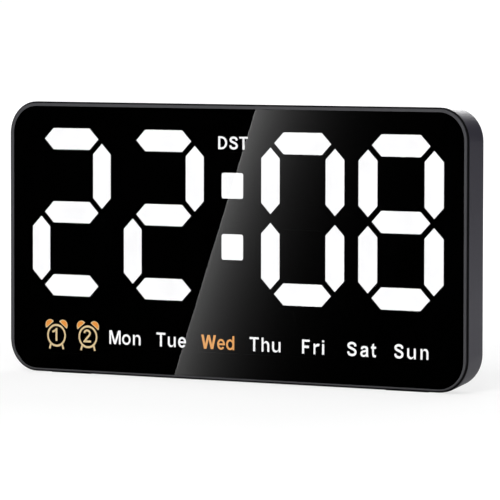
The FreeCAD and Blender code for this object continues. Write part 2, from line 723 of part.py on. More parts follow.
def socket_tongue():
    y = BOARD_Y1 + USB_H / 2
    x0 = USB_FACE_X + TONGUE_SINK
    x1 = USB_FACE_X + USB_L - USB_BACK_T
    return box(x0, x1, y - TONGUE_T / 2, y + TONGUE_T / 2, USB_Z - TONGUE_W / 2, USB_Z + TONGUE_W / 2)


# --- switches and buttons ---------------------------------------------------
def switch_bodies():
    well_y0 = SWITCH_Y1 - PLUNGER_BURIED - BUTTON_TRAVEL - PLUNGER_SPARE
    bodies = []
    for x in BUTTON_X:
        body = block(x, BUTTON_Z, SWITCH_SIDE, SWITCH_SIDE, BOARD_Y1, SWITCH_Y1)
        bodies.append(body.cut(disc(PLUNGER_R + PLUNGER_GAP, x, BUTTON_Z, well_y0, SWITCH_Y1 + THROUGH)))
    return compound(bodies)


def switch_plunger(x):
    return disc(PLUNGER_R, x, BUTTON_Z, SWITCH_Y1 - PLUNGER_BURIED, SWITCH_Y1 + PLUNGER_PROUD)


def button_cap(x):
    flange_y1 = INNER_BACK_Y - BUTTON_STOP_GAP
    flange_y0 = flange_y1 - BUTTON_FLANGE_T
    head = disc(BUTTON_R, x, BUTTON_Z, flange_y0, BUTTON_FACE_Y)
    head = head.makeFillet(BUTTON_EDGE_R, edges_at_y(head, BUTTON_FACE_Y))
    flange = disc(BUTTON_FLANGE_R, x, BUTTON_Z, flange_y0, flange_y1)
    stem = disc(BUTTON_STEM_R, x, BUTTON_Z, SWITCH_Y1 + PLUNGER_PROUD, flange_y1)
    return fuse_all([head, flange, stem])


# --- screws -----------------------------------------------------------------
def screw(x, z, seat_y, head_r, head_t, shank_r, length):
    """Pan head with a cross recess, driven in from the back."""
    top_y = seat_y + head_t
    head = disc(head_r, x, z, seat_y, top_y)
    head = head.makeFillet(head_t * 0.45, edges_at_y(head, top_y))
    shank = disc(shank_r, x, z, seat_y - length, seat_y)
    shank = shank.makeChamfer(shank_r * 0.4, edges_at_y(shank, seat_y - length))
    arm = head_r * RECESS_SPAN
    slot_y = seat_y + head_t * 0.45
    across = block(x, z, arm, RECESS_W, slot_y, top_y + THROUGH)
    down = block(x, z, RECESS_W, arm, slot_y, top_y + THROUGH)
    return fuse_all([head, shank]).cut([across, down])


def case_screws():
    return compound([screw(x, z, HEAD_SEAT_Y, HEAD_R, HEAD_T, SHANK_R, CASE_SCREW_L) for x, z in SCREWS_XZ])


def board_screws():
    sizes = (BOARD_Y1, BOARD_HEAD_R, BOARD_HEAD_T, BOARD_SHANK_R, BOARD_SCREW_L)
    return compound([screw(x, z, *sizes) for x, z in BOARD_SCREWS_XZ])


# --- rear housing -----------------------------------------------------------
def keyhole(x):
    y0 = INNER_BACK_Y - THROUGH
    y1 = BACK_Y + THROUGH
    entry = disc(KEY_ENTRY_R, x, KEY_Z, y0, y1)
    top = disc(KEY_SLOT_R, x, KEY_Z + KEY_DROP, y0, y1)
    slot = box(x - KEY_SLOT_R, x + KEY_SLOT_R, y0, y1, KEY_Z, KEY_Z + KEY_DROP)
    return fuse_all([entry, top, slot])


def sound_holes():
    """One hole in the middle and two rings round it."""
    places = [(0.0, 0.0)]
    for ring in (1, 2):
        for i in range(6 * ring):
            places.append((ring * SOUND_PITCH, math.radians(60.0 * i / ring)))
    holes = []
    for reach, angle in places:
        x = BUZZER_X + reach * math.cos(angle)
        z = BUZZER_Z + reach * math.sin(angle)
        holes.append(disc(SOUND_HOLE_R, x, z, INNER_BACK_Y - THROUGH, BACK_Y + THROUGH))
    return holes


def housing_inner_solids():
    into_wall = INNER_BACK_Y + BLEND_IN
    solids = [disc(BOSS_R, x, z, POST_Y1 + BOSS_GAP, into_wall) for x, z in SCREWS_XZ]
    for x, z in PILLARS_XZ:
        solids += [disc(PILLAR_R, side * x, z, BOARD_Y1, into_wall) for side in (-1, 1)]
    well_half = WELL_HALF_W + WELL_WALL
    well_y0 = WELL_Y - WELL_WALL
    well_z1 = WELL_Z1 + WELL_WALL
    solids.append(box(-well_half, well_half, well_y0, into_wall, CASE_Z0 + WALL / 2, well_z1))
    block_z0 = HINGE_Z - HINGE_BLOCK_BELOW
    solids.append(box(-HINGE_BLOCK_X, HINGE_BLOCK_X, well_y0, into_wall, block_z0, well_z1))
    solids.append(disc(CAP_RING_R, CELL_X, CELL_Z, CAP_RING_Y0, into_wall))
    return solids


def stand_cuts():
    well = box(-WELL_HALF_W, WELL_HALF_W, WELL_Y, BACK_Y + THROUGH, CASE_Z0 - THROUGH, WELL_Z1)
    bore = rod_x(PIN_R + PRESS_GAP, HINGE_Y, HINGE_Z, -PIN_HALF_L - PIN_END_GAP, HINGE_BLOCK_X + THROUGH)
    return [well, bore]


def screw_cuts():
    cuts = []
    for x, z in SCREWS_XZ:
        cuts.append(disc(SCREW_HOLE_R, x, z, POST_Y1 - THROUGH, HEAD_SEAT_Y + THROUGH))
        cuts.append(disc(COUNTERBORE_R, x, z, HEAD_SEAT_Y, BACK_Y + THROUGH))
    return cuts


def cap_cuts():
    """Seat, through hole and the two notches the cap's lugs pass."""
    low_y = CAP_RING_Y0 - THROUGH
    cuts = [disc(CAP_R + CAP_GAP, CELL_X, CELL_Z, CAP_SEAT_Y, BACK_Y + THROUGH)]
    cuts.append(disc(CAP_HUB_R + CAP_HUB_FIT, CELL_X, CELL_Z, low_y, BACK_Y))
    for side in (0, 180):
        cuts.append(sector(LUG_R + CAP_GAP, CELL_X, CELL_Z, low_y, BACK_Y, CAP_TURN + side, NOTCH_SPAN))
    return cuts


def foot_pad(side, z0):
    """A foot with a level sole, let into the climbing underside."""
    x = side * FOOT_X
    z1 = CASE_Z0 + UNDERSIDE_RISE + FOOT_SUNK
    pad = box(x - FOOT_L / 2, x + FOOT_L / 2, -FOOT_HALF_D, FOOT_HALF_D, z0, z1)
    return pad.cut(drafted_plate(FOOT_SUNK, -FOOT_HALF_D - THROUGH, FOOT_HALF_D + THROUGH))


def rear_housing():
    outer = drafted_plate(0.0, SHELL_Y, BACK_Y)
    outer = outer.makeFillet(BACK_FILLET, edges_at_y(outer, BACK_Y))
    cavity = drafted_plate(WALL, SHELL_Y - THROUGH, INNER_BACK_Y)
    lip = inset_plate(LIP_T, SHELL_Y - THROUGH, SHELL_Y + LIP_LEN)
    shell = outer.cut([cavity, lip])
    inner = outer.common(compound(housing_inner_solids()))
    shell = fuse_all([shell] + inner.Solids)
    button_hole_r = BUTTON_R + BUTTON_GAP
    cuts = stand_cuts() + screw_cuts() + cap_cuts() + sound_holes()
    cuts += [disc(button_hole_r, x, BUTTON_Z, INNER_BACK_Y - THROUGH, BACK_Y + THROUGH) for x in BUTTON_X]
    cuts += [keyhole(side * KEY_SPACING / 2) for side in (-1, 1)]
    cuts.append(usb_profile(-USB_GAP, -CASE_W / 2 - THROUGH, BOARD_EAR_X))
    cuts += [foot_pad(side, CASE_Z0 - THROUGH) for side in (-1, 1)]
    return shell.cut(cuts)


def feet():
    return compound([foot_pad(side, 0.0) for side in (-1, 1)])


# --- twist cap --------------------------------------------------------------
def cell_cap():
    face_y = BACK_Y - CAP_SINK
    top = disc(CAP_R, CELL_X, CELL_Z, CAP_SEAT_Y, face_y)
    top = top.makeFillet(CAP_EDGE_R, edges_at_y(top, face_y))
    hub = disc(CAP_HUB_R, CELL_X, CELL_Z, LUG_Y0, CAP_SEAT_Y)
    lugs = [sector(LUG_R, CELL_X, CELL_Z, LUG_Y0, LUG_Y1, side, LUG_SPAN) for side in (0, 180)]
    hollow = disc(CAP_HUB_R - CAP_HUB_WALL, CELL_X, CELL_Z, LUG_Y0 - THROUGH, CAP_SEAT_Y)
    coin_y0 = face_y - COIN_SLOT_DEPTH
    coin_slot = block(CELL_X, CELL_Z, COIN_SLOT_L, COIN_SLOT_W, coin_y0, face_y + THROUGH)
    return fuse_all([top, hub] + lugs).cut([hollow, coin_slot])


# --- stand ------------------------------------------------------------------
def stand_slab(half_w, y0, y1, z0, z1):
    return box(-half_w, half_w, y0, y1, z0, z1)


def tenon(gap, z0):
    half_t = TENON_T / 2 - gap
    return stand_slab(TENON_HALF_W - gap, HINGE_Y - half_t, HINGE_Y + half_t, z0, TIP_Z1 + TENON_L - gap)


def stand_leg():
    arm = stand_slab(STAND_HALF_W, STAND_Y0, STAND_FACE_Y, TIP_Z1, HINGE_Z)
    barrel = rod_x(BARREL_R, HINGE_Y, HINGE_Z, -STAND_HALF_W, STAND_HALF_W)
    heel = stand_slab(STAND_HALF_W, STAND_Y0, HINGE_Y, HINGE_Z, HINGE_Z + HEEL)
    cuts = [tenon(0.0, TIP_Z1 - THROUGH)]
    cuts.append(rod_x(PIN_R + PIN_FIT, HINGE_Y, HINGE_Z, -STAND_HALF_W - THROUGH, STAND_HALF_W + THROUGH))
    relief_y = (STAND_Y0 - THROUGH, STAND_Y0 + RELIEF_DEPTH)
    relief_z = (TIP_Z1 + RELIEF_LOW, HINGE_Z - RELIEF_HIGH)
    cuts.append(stand_slab(STAND_HALF_W - RELIEF_EDGE, *relief_y, *relief_z))
    for i in range(GRIPS):
        z = TIP_Z1 + GRIP_UP + i * GRIP_PITCH
        cuts.append(stand_slab(GRIP_HALF_W, STAND_FACE_Y - GRIP_DEPTH, STAND_FACE_Y + THROUGH, z, z + GRIP_W))
    return fuse_all([arm, barrel, heel]).cut(cuts)


def stand_pin():
    pin = rod_x(PIN_R, HINGE_Y, HINGE_Z, -PIN_HALF_L, PIN_HALF_L)
    return pin.makeChamfer(PIN_CHAMFER, [e for e in pin.Edges if e.BoundBox.XLength < 1e-5])


def stand_tip():
    pad = stand_slab(STAND_HALF_W, STAND_Y0, STAND_FACE_Y, TIP_Z0, TIP_Z1)
    low_back = []
    for edge in edges_at_y(pad, STAND_FACE_Y):
        if edge.BoundBox.ZMax < TIP_Z0 + 1e-5:
            low_back.append(edge)
    pad = pad.makeFillet(BACK_FILLET, low_back)
    return fuse_all([pad, tenon(TENON_GAP, TIP_Z1 - TENON_L / 2)])


# --- every piece ------------------------------------------------------------
DIGIT_NAMES = ("hour_tens", "hour_units", "minute_tens", "minute_units")

export("rear_housing", rear_housing())
export("front_carrier", front_carrier())
export("trim_ring", trim_ring())
export("front_lens", front_lens())
export("display_mask", display_mask())
export("segment_reflector", segment_reflector())

dark_bars = []
for index, name in enumerate(DIGIT_NAMES):
    export(name + "_lit", compound(digit_segments(index, LIT[index], 0.0, LENS_Y1, DIFFUSER_Y1)))
    unlit = [letter for letter in SEGMENTS if letter not in LIT[index]]
    dark_bars += digit_segments(index, unlit, 0.0, LENS_Y1, DIFFUSER_Y1)
export("unlit_segments", compound(dark_bars))
export("colon_dots", compound(colon_dots(0.0, LENS_Y1, DIFFUSER_Y1)))
other_days = [i for i in range(DAYS) if i != LIT_DAY]
export("weekday_windows", compound(day_blocks(other_days, 0.0, LENS_Y1, DIFFUSER_Y1)))
export("today_window", compound(day_blocks([LIT_DAY], 0.0, LENS_Y1, DIFFUSER_Y1)))
export("alarm_windows", compound(alarm_blocks(0.0, LENS_Y1, DIFFUSER_Y1)))
export("dst_window", dst_block(0.0, LENS_Y1, DIFFUSER_Y1))

export("main_board", main_board())
export("segment_leds", segment_leds())
export("indicator_leds", indicator_leds())
export("driver_chips", driver_chips())
export("clock_chip", clock_chip())
export("crystal", crystal())
export("capacitors", capacitors())
export("buzzer", buzzer())
export("cell_holder", cell_holder())
export("cell_contact", cell_contact())
export("backup_cell", backup_cell())
export("power_socket", power_socket())
export("socket_tongue", socket_tongue())
export("switch_bodies", switch_bodies())
for name, x in zip(BUTTON_NAMES, BUTTON_X):
    export(name + "_button", button_cap(x))
    export(name + "_plunger", switch_plunger(x))
export("board_screws", board_screws())
export("case_screws", case_screws())
export("feet", feet())
export("cell_cap", cell_cap())
export("stand_leg", stand_leg())
export("stand_pin", stand_pin())
export("stand_tip", stand_tip())
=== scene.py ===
import math

import bmesh
import bpy
from mathutils import Matrix, Vector


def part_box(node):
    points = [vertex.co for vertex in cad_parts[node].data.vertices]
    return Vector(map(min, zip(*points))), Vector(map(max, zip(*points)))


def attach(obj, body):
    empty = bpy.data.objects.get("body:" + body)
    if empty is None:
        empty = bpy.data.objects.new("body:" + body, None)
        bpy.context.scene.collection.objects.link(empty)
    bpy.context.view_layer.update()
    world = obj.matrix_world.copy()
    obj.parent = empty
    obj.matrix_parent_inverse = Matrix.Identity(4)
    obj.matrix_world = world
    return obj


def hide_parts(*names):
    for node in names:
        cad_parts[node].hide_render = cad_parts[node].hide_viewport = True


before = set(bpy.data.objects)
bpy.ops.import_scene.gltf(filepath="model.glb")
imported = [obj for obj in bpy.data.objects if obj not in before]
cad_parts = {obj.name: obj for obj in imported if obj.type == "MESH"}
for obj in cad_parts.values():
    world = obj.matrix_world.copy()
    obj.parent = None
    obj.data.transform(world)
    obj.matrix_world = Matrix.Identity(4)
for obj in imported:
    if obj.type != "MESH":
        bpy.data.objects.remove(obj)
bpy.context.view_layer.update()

MM = 0.001

# Display layout, in millimetres of the part's own frame.
DIGITS_X = -0.1
DIGITS_Z = 75.9
CAP_H = 6.45
X_HEIGHT = 4.8
STEM = 0.93
BAR = 0.84
FIRM_STEM = 1.0
CAP_STEM = 1.08
CAP_BAR = 0.95
OVERSHOOT = 0.08
NICK = 0.08  # how far a bowl or an arch cuts into its stem
DAY_BASE_Z = 14.8
DAY_Z = 18.0
DAY_W = 21.4
DAY_H = 9.6
DAY_X0 = -59.61
DAY_PITCH = 25.87
TODAY = 2
DST_BASE_Z = 107.05
DST_BOX = (0.6, 110.0, 19.4, 8.6)
ALARM_X = (-98.81, -80.91)
ALARM_BOX = (15.4, 17.2)
ALARM_Z = 17.9
WORD_FRONT_Y = -6.5
FILM_FRONT_Y = -6.46
FILM_BACK_Y = -5.3


def colour(red, green, blue):
    """A display colour of 0 to 255 a channel as the linear one that the shaders take."""
    def linear(value):
        value = value / 255
        return value / 12.92 if value <= 0.04045 else ((value + 0.055) / 1.055) ** 2.4
    return (linear(red), linear(green), linear(blue), 1.0)


# ---------------------------------------------------------------- materials

def new_group(name, inputs, outputs):
    """A shader node group with its sockets, and its input and output nodes."""
    tree = bpy.data.node_groups.new(name, "ShaderNodeTree")
    for label, kind, value in inputs:
        socket = tree.interface.new_socket(label, in_out="INPUT", socket_type=kind)
        socket.default_value = value
    for label, kind in outputs:
        tree.interface.new_socket(label, in_out="OUTPUT", socket_type=kind)
    return tree, tree.nodes.new("NodeGroupInput"), tree.nodes.new("NodeGroupOutput")


def node(tree, kind, sockets=(), **settings):
    """A node with its settings; a socket takes a number or the socket that feeds it."""
    made = tree.nodes.new(kind)
    for key, value in settings.items():
        setattr(made, key, value)
    for key, value in dict(sockets).items():
        if kind == "ShaderNodeMix" and settings["data_type"] == "RGBA":
            key = {"Factor": 0, "A": 6, "B": 7}[key]
        if isinstance(value, bpy.types.NodeSocket):
            tree.links.new(value, made.inputs[key])
        else:
            made.inputs[key].default_value = value
    return made


def math_node(tree, operation, first, second=0.0, third=0.0):
    made = node(tree, "ShaderNodeMath", {0: first, 1: second, 2: third}, operation=operation)
    return made.outputs[0]


def ramp(tree, value, start, stop, low=0.0, high=1.0):
    """Goes from low to high as the value goes from start to stop, and is held beyond them."""
    made = node(tree, "ShaderNodeMapRange", {"Value": value, "From Min": start, "From Max": stop,
                                             "To Min": low, "To Max": high})
    return made.outputs[0]


def object_place(tree):
    """Where the shaded point lies on its object, in metres."""
    return node(tree, "ShaderNodeTexCoord").outputs["Object"]


def noise(tree, place, scale, detail, roughness=0.5):
    made = node(tree, "ShaderNodeTexNoise", {"Vector": place, "Scale": scale, "Detail": detail,
                                             "Roughness": roughness})
    return made.outputs["Fac"]


def tinted(tree, base, factor):
    """The base colour times a factor."""
    made = node(tree, "ShaderNodeVectorMath", {0: base, "Scale": factor}, operation="SCALE")
    return made.outputs[0]


FLOAT = "NodeSocketFloat"
COLOUR = "NodeSocketColor"
SURFACE_INPUTS = [
    ("Colour", COLOUR, (0.5, 0.5, 0.5, 1.0)),
    ("Shade Spread", FLOAT, 0.1),
    ("Grain Scale", FLOAT, 2500.0),
    ("Roughness", FLOAT, 0.5),
    ("Roughness Spread", FLOAT, 0.1),
]
SURFACE_OUTPUTS = [("Colour", COLOUR), ("Roughness", FLOAT), ("Height", FLOAT)]

# Scales of what varies slowly over a surface, in waves a metre.
DRIFT_SCALE = 26.0
PATCH_SCALE = 180.0
LAMP_SCALE = 90.0
LENS_MARK_SCALE = 24.0
BOARD_MARK_SCALE = 60.0
TRACK_SCALE = 160.0

GRAIN_SHARE = 0.6
LINE_STRETCH = 0.04
WIPE_TURN = 0.5
WIPE_STRETCH = 0.35


def finish_surface_group(tree, given, result, swing, height):
    """Puts out a surface's colour and roughness, swung about their own values, and its height."""
    factor = math_node(tree, "MULTIPLY_ADD", swing, given.outputs["Shade Spread"], 1.0)
    rough = math_node(tree, "MULTIPLY_ADD", swing, given.outputs["Roughness Spread"],
                      given.outputs["Roughness"])
    tree.links.new(tinted(tree, given.outputs["Colour"], factor), result.inputs["Colour"])
    tree.links.new(rough, result.inputs["Roughness"])
    tree.links.new(height, result.inputs["Height"])
    return tree


def moulded_grain_group():
    """Spark-eroded plastic: fine grain, with slow drifts of shade and gloss."""
    tree, given, result = new_group("moulded_grain", SURFACE_INPUTS, SURFACE_OUTPUTS)
    place = object_place(tree)
    grain = noise(tree, place, given.outputs["Grain Scale"], 2.0, 0.6)
    drift = noise(tree, place, DRIFT_SCALE, 3.0)
    mixed = math_node(tree, "MULTIPLY_ADD", grain, GRAIN_SHARE, drift)
    swing = math_node(tree, "SUBTRACT", mixed, (GRAIN_SHARE + 1.0) / 2)
    return finish_surface_group(tree, given, result, swing, grain)


def drawn_metal_group():
    """Rolled or drawn metal: fine lines along X, with dull patches."""
    tree, given, result = new_group("drawn_metal", SURFACE_INPUTS, SURFACE_OUTPUTS)
    place = object_place(tree)
    drawn = node(tree, "ShaderNodeMapping", {"Vector": place, "Scale": (LINE_STRETCH, 1.0, 1.0)})
    lines = noise(tree, drawn.outputs[0], given.outputs["Grain Scale"], 2.0)
    patches = noise(tree, place, PATCH_SCALE, 3.0)
    swing = math_node(tree, "SUBTRACT", math_node(tree, "ADD", lines, patches), 1.0)
    return finish_surface_group(tree, given, result, swing, lines)


def light_film_group():
    """A diffuser lit from behind: a little brighter over its lamps."""
    inputs = [("Colour", COLOUR, (1.0, 1.0, 1.0, 1.0)), ("Lamp Scale", FLOAT, LAMP_SCALE),
              ("Spread", FLOAT, 0.2)]
    tree, given, result = new_group("light_film", inputs, [("Colour", COLOUR)])
    pools = noise(tree, object_place(tree), given.outputs["Lamp Scale"], 1.0)
    swing = math_node(tree, "SUBTRACT", pools, 0.5)
    factor = math_node(tree, "MULTIPLY_ADD", swing, given.outputs["Spread"], 1.0)
    tree.links.new(tinted(tree, given.outputs["Colour"], factor), result.inputs["Colour"])
    return tree


def wiped_gloss_group():
    """A polished face with faint wipe marks, as a roughness."""
    inputs = [("Mark Scale", FLOAT, 30.0), ("Roughness", FLOAT, 0.02), ("Roughness Spread", FLOAT, 0.02)]
    tree, given, result = new_group("wiped_gloss", inputs, [("Roughness", FLOAT)])
    swept = node(tree, "ShaderNodeMapping", {"Vector": object_place(tree), "Rotation": (0.0, WIPE_TURN, 0.0),
                                             "Scale": (WIPE_STRETCH, 1.0, 1.0)})
    marks = noise(tree, swept.outputs[0], given.outputs["Mark Scale"], 4.0)
    rough = math_node(tree, "MULTIPLY_ADD", marks, given.outputs["Roughness Spread"],
                      given.outputs["Roughness"])
    tree.links.new(rough, result.inputs["Roughness"])
    return tree


MOULDED_GRAIN = moulded_grain_group()
DRAWN_METAL = drawn_metal_group()
LIGHT_FILM = light_film_group()
WIPED_GLOSS = wiped_gloss_group()


def blank_material(name):
    material = bpy.data.materials.new(name)
    material.use_nodes = True
    return material, material.node_tree, material.node_tree.nodes["Principled BSDF"]


def surface(name, base, group=MOULDED_GRAIN, shade=0.12, grain=2500.0, rough=0.5, bump=0.04, metallic=0.0,
            specular=0.5, edge=0.15):
    """A plastic, rubber or metal finish; its bump and its rounded edges are in millimetres."""
    material, tree, shader = blank_material(name)
    pattern = node(tree, "ShaderNodeGroup", {
        "Colour": base, "Shade Spread": shade, "Grain Scale": grain, "Roughness": rough,
        "Roughness Spread": ROUGH_SPREAD}, node_tree=group)
    tree.links.new(pattern.outputs["Colour"], shader.inputs["Base Color"])
    tree.links.new(pattern.outputs["Roughness"], shader.inputs["Roughness"])
    rounded = node(tree, "ShaderNodeBevel", {"Radius": edge * MM}, samples=6)
    relief = node(tree, "ShaderNodeBump", {"Height": pattern.outputs["Height"], "Distance": bump * MM,
                                           "Normal": rounded.outputs["Normal"]})
    tree.links.new(relief.outputs["Normal"], shader.inputs["Normal"])
    shader.inputs["Metallic"].default_value = metallic
    shader.inputs["Specular IOR Level"].default_value = specular
    return material


def bare_metal(name, base, rough):
    return surface(name, base, DRAWN_METAL, rough=rough, metallic=1.0)


def painted_over(material, mask, over):
    """Lays a second colour over a finish's own where the mask is 1."""
    tree = material.node_tree
    own = tree.nodes["Group"].outputs["Colour"]
    mixed = node(tree, "ShaderNodeMix", {"Factor": mask, "A": own, "B": over}, data_type="RGBA")
    tree.links.new(mixed.outputs[2], tree.nodes["Principled BSDF"].inputs["Base Color"])
    return material


def lit(name, base):
    """A diffuser, film or letter that glows through the smoked lens."""
    material, tree, shader = blank_material(name)
    film = node(tree, "ShaderNodeGroup", {"Colour": base, "Lamp Scale": LAMP_SCALE,
                                          "Spread": LAMP_SPREAD}, node_tree=LIGHT_FILM)
    tree.links.new(film.outputs["Colour"], shader.inputs["Base Color"])
    tree.links.new(film.outputs["Colour"], shader.inputs["Emission Color"])
    shader.inputs["Emission Strength"].default_value = LIT_STRENGTH
    shader.inputs["Roughness"].default_value = 0.6
    return material


def wiped_roughness(tree, shader, scale, rough, spread):
    """Gives a polished material its wipe marks."""
    marks = node(tree, "ShaderNodeGroup", {"Mark Scale": scale, "Roughness": rough,
                                           "Roughness Spread": spread}, node_tree=WIPED_GLOSS)
    tree.links.new(marks.outputs["Roughness"], shader.inputs["Roughness"])


def smoked_lens():
    """Dark acrylic, polished on both faces."""
    material, tree, shader = blank_material("smoked_acrylic")
    wiped_roughness(tree, shader, LENS_MARK_SCALE, rough=0.0, spread=0.012)
    shader.inputs["Base Color"].default_value = LENS_TINT
    shader.inputs["IOR"].default_value = 1.49
    shader.inputs["Transmission Weight"].default_value = 1.0
    return material


def trim_ring_paint_and_edge_shade():
    """Satin grey paint on the ring's face; its outer edge is painted darker, as painted shade for the dark
    gap line round the ring.
    """
    material = surface("trim_satin_grey_edge_shade", colour(74, 74, 77), grain=3400.0, bump=0.01, specular=0.3)
    tree = material.node_tree
    place = node(tree, "ShaderNodeTexCoord")
    middle = node(tree, "ShaderNodeVectorMath", {0: place.outputs["Object"], 1: (0.0, 0.0, RING_MIDDLE_Z)},
                  operation="SUBTRACT")
    facing = node(tree, "ShaderNodeVectorMath", {0: place.outputs["Normal"], 1: middle.outputs[0]},
                  operation="DOT_PRODUCT")
    # Faces that look outwards from the ring's middle get painted shade, darker than the grey face.
    outer = ramp(tree, facing.outputs["Value"], *RING_SHADE_FACING)
    return painted_over(material, outer, RING_EDGE_PAINTED_SHADE)


def housing_plastic():
    """Moulded grey plastic, with a pale turning arrow printed on the back beside the cell cap."""
    material = surface("case_moulded_grey", colour(55, 53, 63), shade=0.18, rough=0.42, bump=0.06)
    tree = material.node_tree
    from_cap = node(tree, "ShaderNodeVectorMath", {0: object_place(tree), 1: (CAP_X * MM, 0.0, CAP_Z * MM)},
                    operation="SUBTRACT")
    offset = node(tree, "ShaderNodeSeparateXYZ", {0: from_cap.outputs[0]}).outputs
    reach = math_node(tree, "SQRT", math_node(tree, "ADD", math_node(tree, "POWER", offset["X"], 2.0),
                                              math_node(tree, "POWER", offset["Z"], 2.0)))
    turn = math_node(tree, "ARCTAN2", offset["X"], offset["Z"])
    off_line = math_node(tree, "ABSOLUTE", math_node(tree, "SUBTRACT", reach, ARROW_R * MM))
    before_tip = math_node(tree, "SUBTRACT", ARROW_TIP, turn)
    head_half = math_node(tree, "MULTIPLY", before_tip, ARROW_HEAD_FLARE * MM)
    head = math_node(tree, "MULTIPLY", math_node(tree, "LESS_THAN", off_line, head_half),
                     math_node(tree, "LESS_THAN", before_tip, ARROW_HEAD))
    shaft = math_node(tree, "MULTIPLY", math_node(tree, "LESS_THAN", off_line, ARROW_HALF_W * MM),
                      math_node(tree, "COMPARE", turn, 0.0, ARROW_TIP - ARROW_HEAD / 2))
    on_back = math_node(tree, "GREATER_THAN", offset["Y"], ARROW_FROM_Y * MM)
    arrow = math_node(tree, "MULTIPLY", math_node(tree, "MAXIMUM", head, shaft), on_back)
    return painted_over(material, arrow, PRINT_PALE)


def circuit_board():
    """Green solder mask over tracks that run in two directions."""
    material, tree, shader = blank_material("board_solder_mask")
    turned = node(tree, "ShaderNodeMapping", {"Vector": object_place(tree),
                                              "Rotation": (math.pi / 2, 0.0, 0.0)})
    tracks = node(tree, "ShaderNodeTexBrick", {
        "Vector": turned.outputs[0], "Scale": TRACK_SCALE, "Mortar Size": 0.06, "Mortar Smooth": 0.3,
        "Bias": -0.2, "Brick Width": 1.7, "Row Height": 0.32, "Color1": colour(16, 78, 44),
        "Color2": colour(13, 64, 38), "Mortar": colour(34, 104, 60)})
    tree.links.new(tracks.outputs["Color"], shader.inputs["Base Color"])
    relief = node(tree, "ShaderNodeBump", {"Height": tracks.outputs["Fac"], "Distance": 0.03 * MM,
                                           "Strength": 0.5})
    tree.links.new(relief.outputs["Normal"], shader.inputs["Normal"])
    wiped_roughness(tree, shader, BOARD_MARK_SCALE, rough=0.25, spread=0.15)
    return material


ROUGH_SPREAD = 0.12
LAMP_SPREAD = 0.12
LIT_STRENGTH = 5.1
LENS_TINT = (0.2, 0.2, 0.202, 1.0)
ORANGE = colour(230, 166, 99)
CREAM = colour(217, 193, 149)
BELL_ORANGE = colour(235, 152, 66)
PRINT_PALE = colour(176, 176, 180)
# Painted shade for the dark gap line round the ring's outer edge.
RING_EDGE_PAINTED_SHADE = colour(46, 45, 49)
# The ring's middle, and how far from it a face's plane lies where the grey face gives way to the painted
# edge shade: in metres.
RING_MIDDLE_Z = 0.064
RING_SHADE_FACING = (0.012, 0.03)

# The cell cap's middle, and the arrow round it: millimetres, and radians from straight above the cap.
CAP_X = 82.0
CAP_Z = 48.4
ARROW_R = 15.4
ARROW_HALF_W = 0.22
ARROW_TIP = 0.46
ARROW_HEAD = 0.14
ARROW_HEAD_FLARE = 7.0
ARROW_FROM_Y = 7.45

FINISHES = {
    "case_grey": housing_plastic(),
    # A real black carrier, made near-black so that its flange shows the shadow gap round the ring as a dark
    # line: partly painted shade.
    "carrier_black": surface("carrier_black_painted_gap_shade", colour(9, 9, 11), rough=0.7, specular=0.12),
    "trim_grey": trim_ring_paint_and_edge_shade(),
    "smoked_lens": smoked_lens(),
    "mask_ink": surface("mask_black_ink", colour(4, 4, 5), rough=0.85, bump=0.004),
    "reflector_white": surface("light_box_white", colour(225, 225, 222), shade=0.05, rough=0.55),
    "lit_white": lit("lit_white_diffuser", (1.0, 1.0, 1.0, 1.0)),
    "lit_orange": lit("lit_orange_film", ORANGE),
    "unlit_diffuser": surface("unlit_smoked_diffuser", colour(12, 12, 13), rough=0.7),
    "board_green": circuit_board(),
    "led_package": surface("led_package_white", colour(232, 226, 196), shade=0.08, rough=0.35),
    "chip_black": surface("chip_epoxy_black", colour(24, 24, 26), rough=0.48, grain=5200.0),
    "tin": bare_metal("tinned_can", colour(196, 197, 199), 0.3),
    "buzzer_black": surface("buzzer_black_plastic", colour(20, 20, 21), rough=0.45),
    "holder_black": surface("cell_holder_black", colour(27, 27, 29)),
    "spring_steel": bare_metal("spring_steel", colour(176, 177, 179), 0.26),
    "cell_steel": bare_metal("cell_can_steel", colour(205, 205, 203), 0.22),
    "socket_steel": bare_metal("socket_shell_steel", colour(188, 189, 192), 0.24),
    "switch_black": surface("switch_black_plastic", colour(30, 30, 31)),
    "button_grey": surface("button_moulded_grey", colour(84, 84, 88), rough=0.55, grain=4200.0),
    "screw_steel": bare_metal("screw_black_zinc", colour(92, 92, 95), 0.35),
    "stand_grey": surface("stand_moulded_grey", colour(62, 61, 66), rough=0.46),
    "rubber_black": surface("foot_rubber_black", colour(26, 26, 27), shade=0.2, grain=1800.0, rough=0.85),
}
CREAM_GLOW = lit("lit_cream_film", CREAM)
BELL_GLOW = lit("lit_bell_orange", BELL_ORANGE)
PRINTED_SYMBOL = surface("symbol_print_pale", PRINT_PALE, grain=4200.0, edge=0.05)
FILM_BLACK = surface("window_film_black", colour(4, 4, 5), rough=0.8, bump=0.004)

for cad_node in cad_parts.values():
    for material_slot in cad_node.material_slots:
        material_slot.material = FINISHES[material_slot.material.name]


# ---------------------------------------------------------------- flat shapes

def bow(mid_x, mid_z, radius_x, radius_z, start, stop, steps=28):
    """Points on an arc, from one angle to another in degrees."""
    points = []
    for step in range(steps + 1):
        angle = math.radians(start + (stop - start) * step / steps)
        points.append((mid_x + radius_x * math.cos(angle), mid_z + radius_z * math.sin(angle)))
    return points


def oval(mid_x, mid_z, radius_x, radius_z, steps=40):
    return bow(mid_x, mid_z, radius_x, radius_z, 0, 360, steps)[:-1]


def eased(points, steps=6):
    """A smooth run through the points."""
    full = [points[0]] + list(points) + [points[-1]]
    run = []
    for index in range(1, len(full) - 2):
        before, start, stop, after = (Vector(p) for p in full[index - 1:index + 3])
        for step in range(steps):
            t = step / steps
            run.append(tuple(0.5 * (2 * start + (stop - before) * t
                                    + (2 * before - 5 * start + 4 * stop - after) * t ** 2
                                    + (3 * start - before - 3 * stop + after) * t ** 3)))
    return run + [tuple(points[-1])]


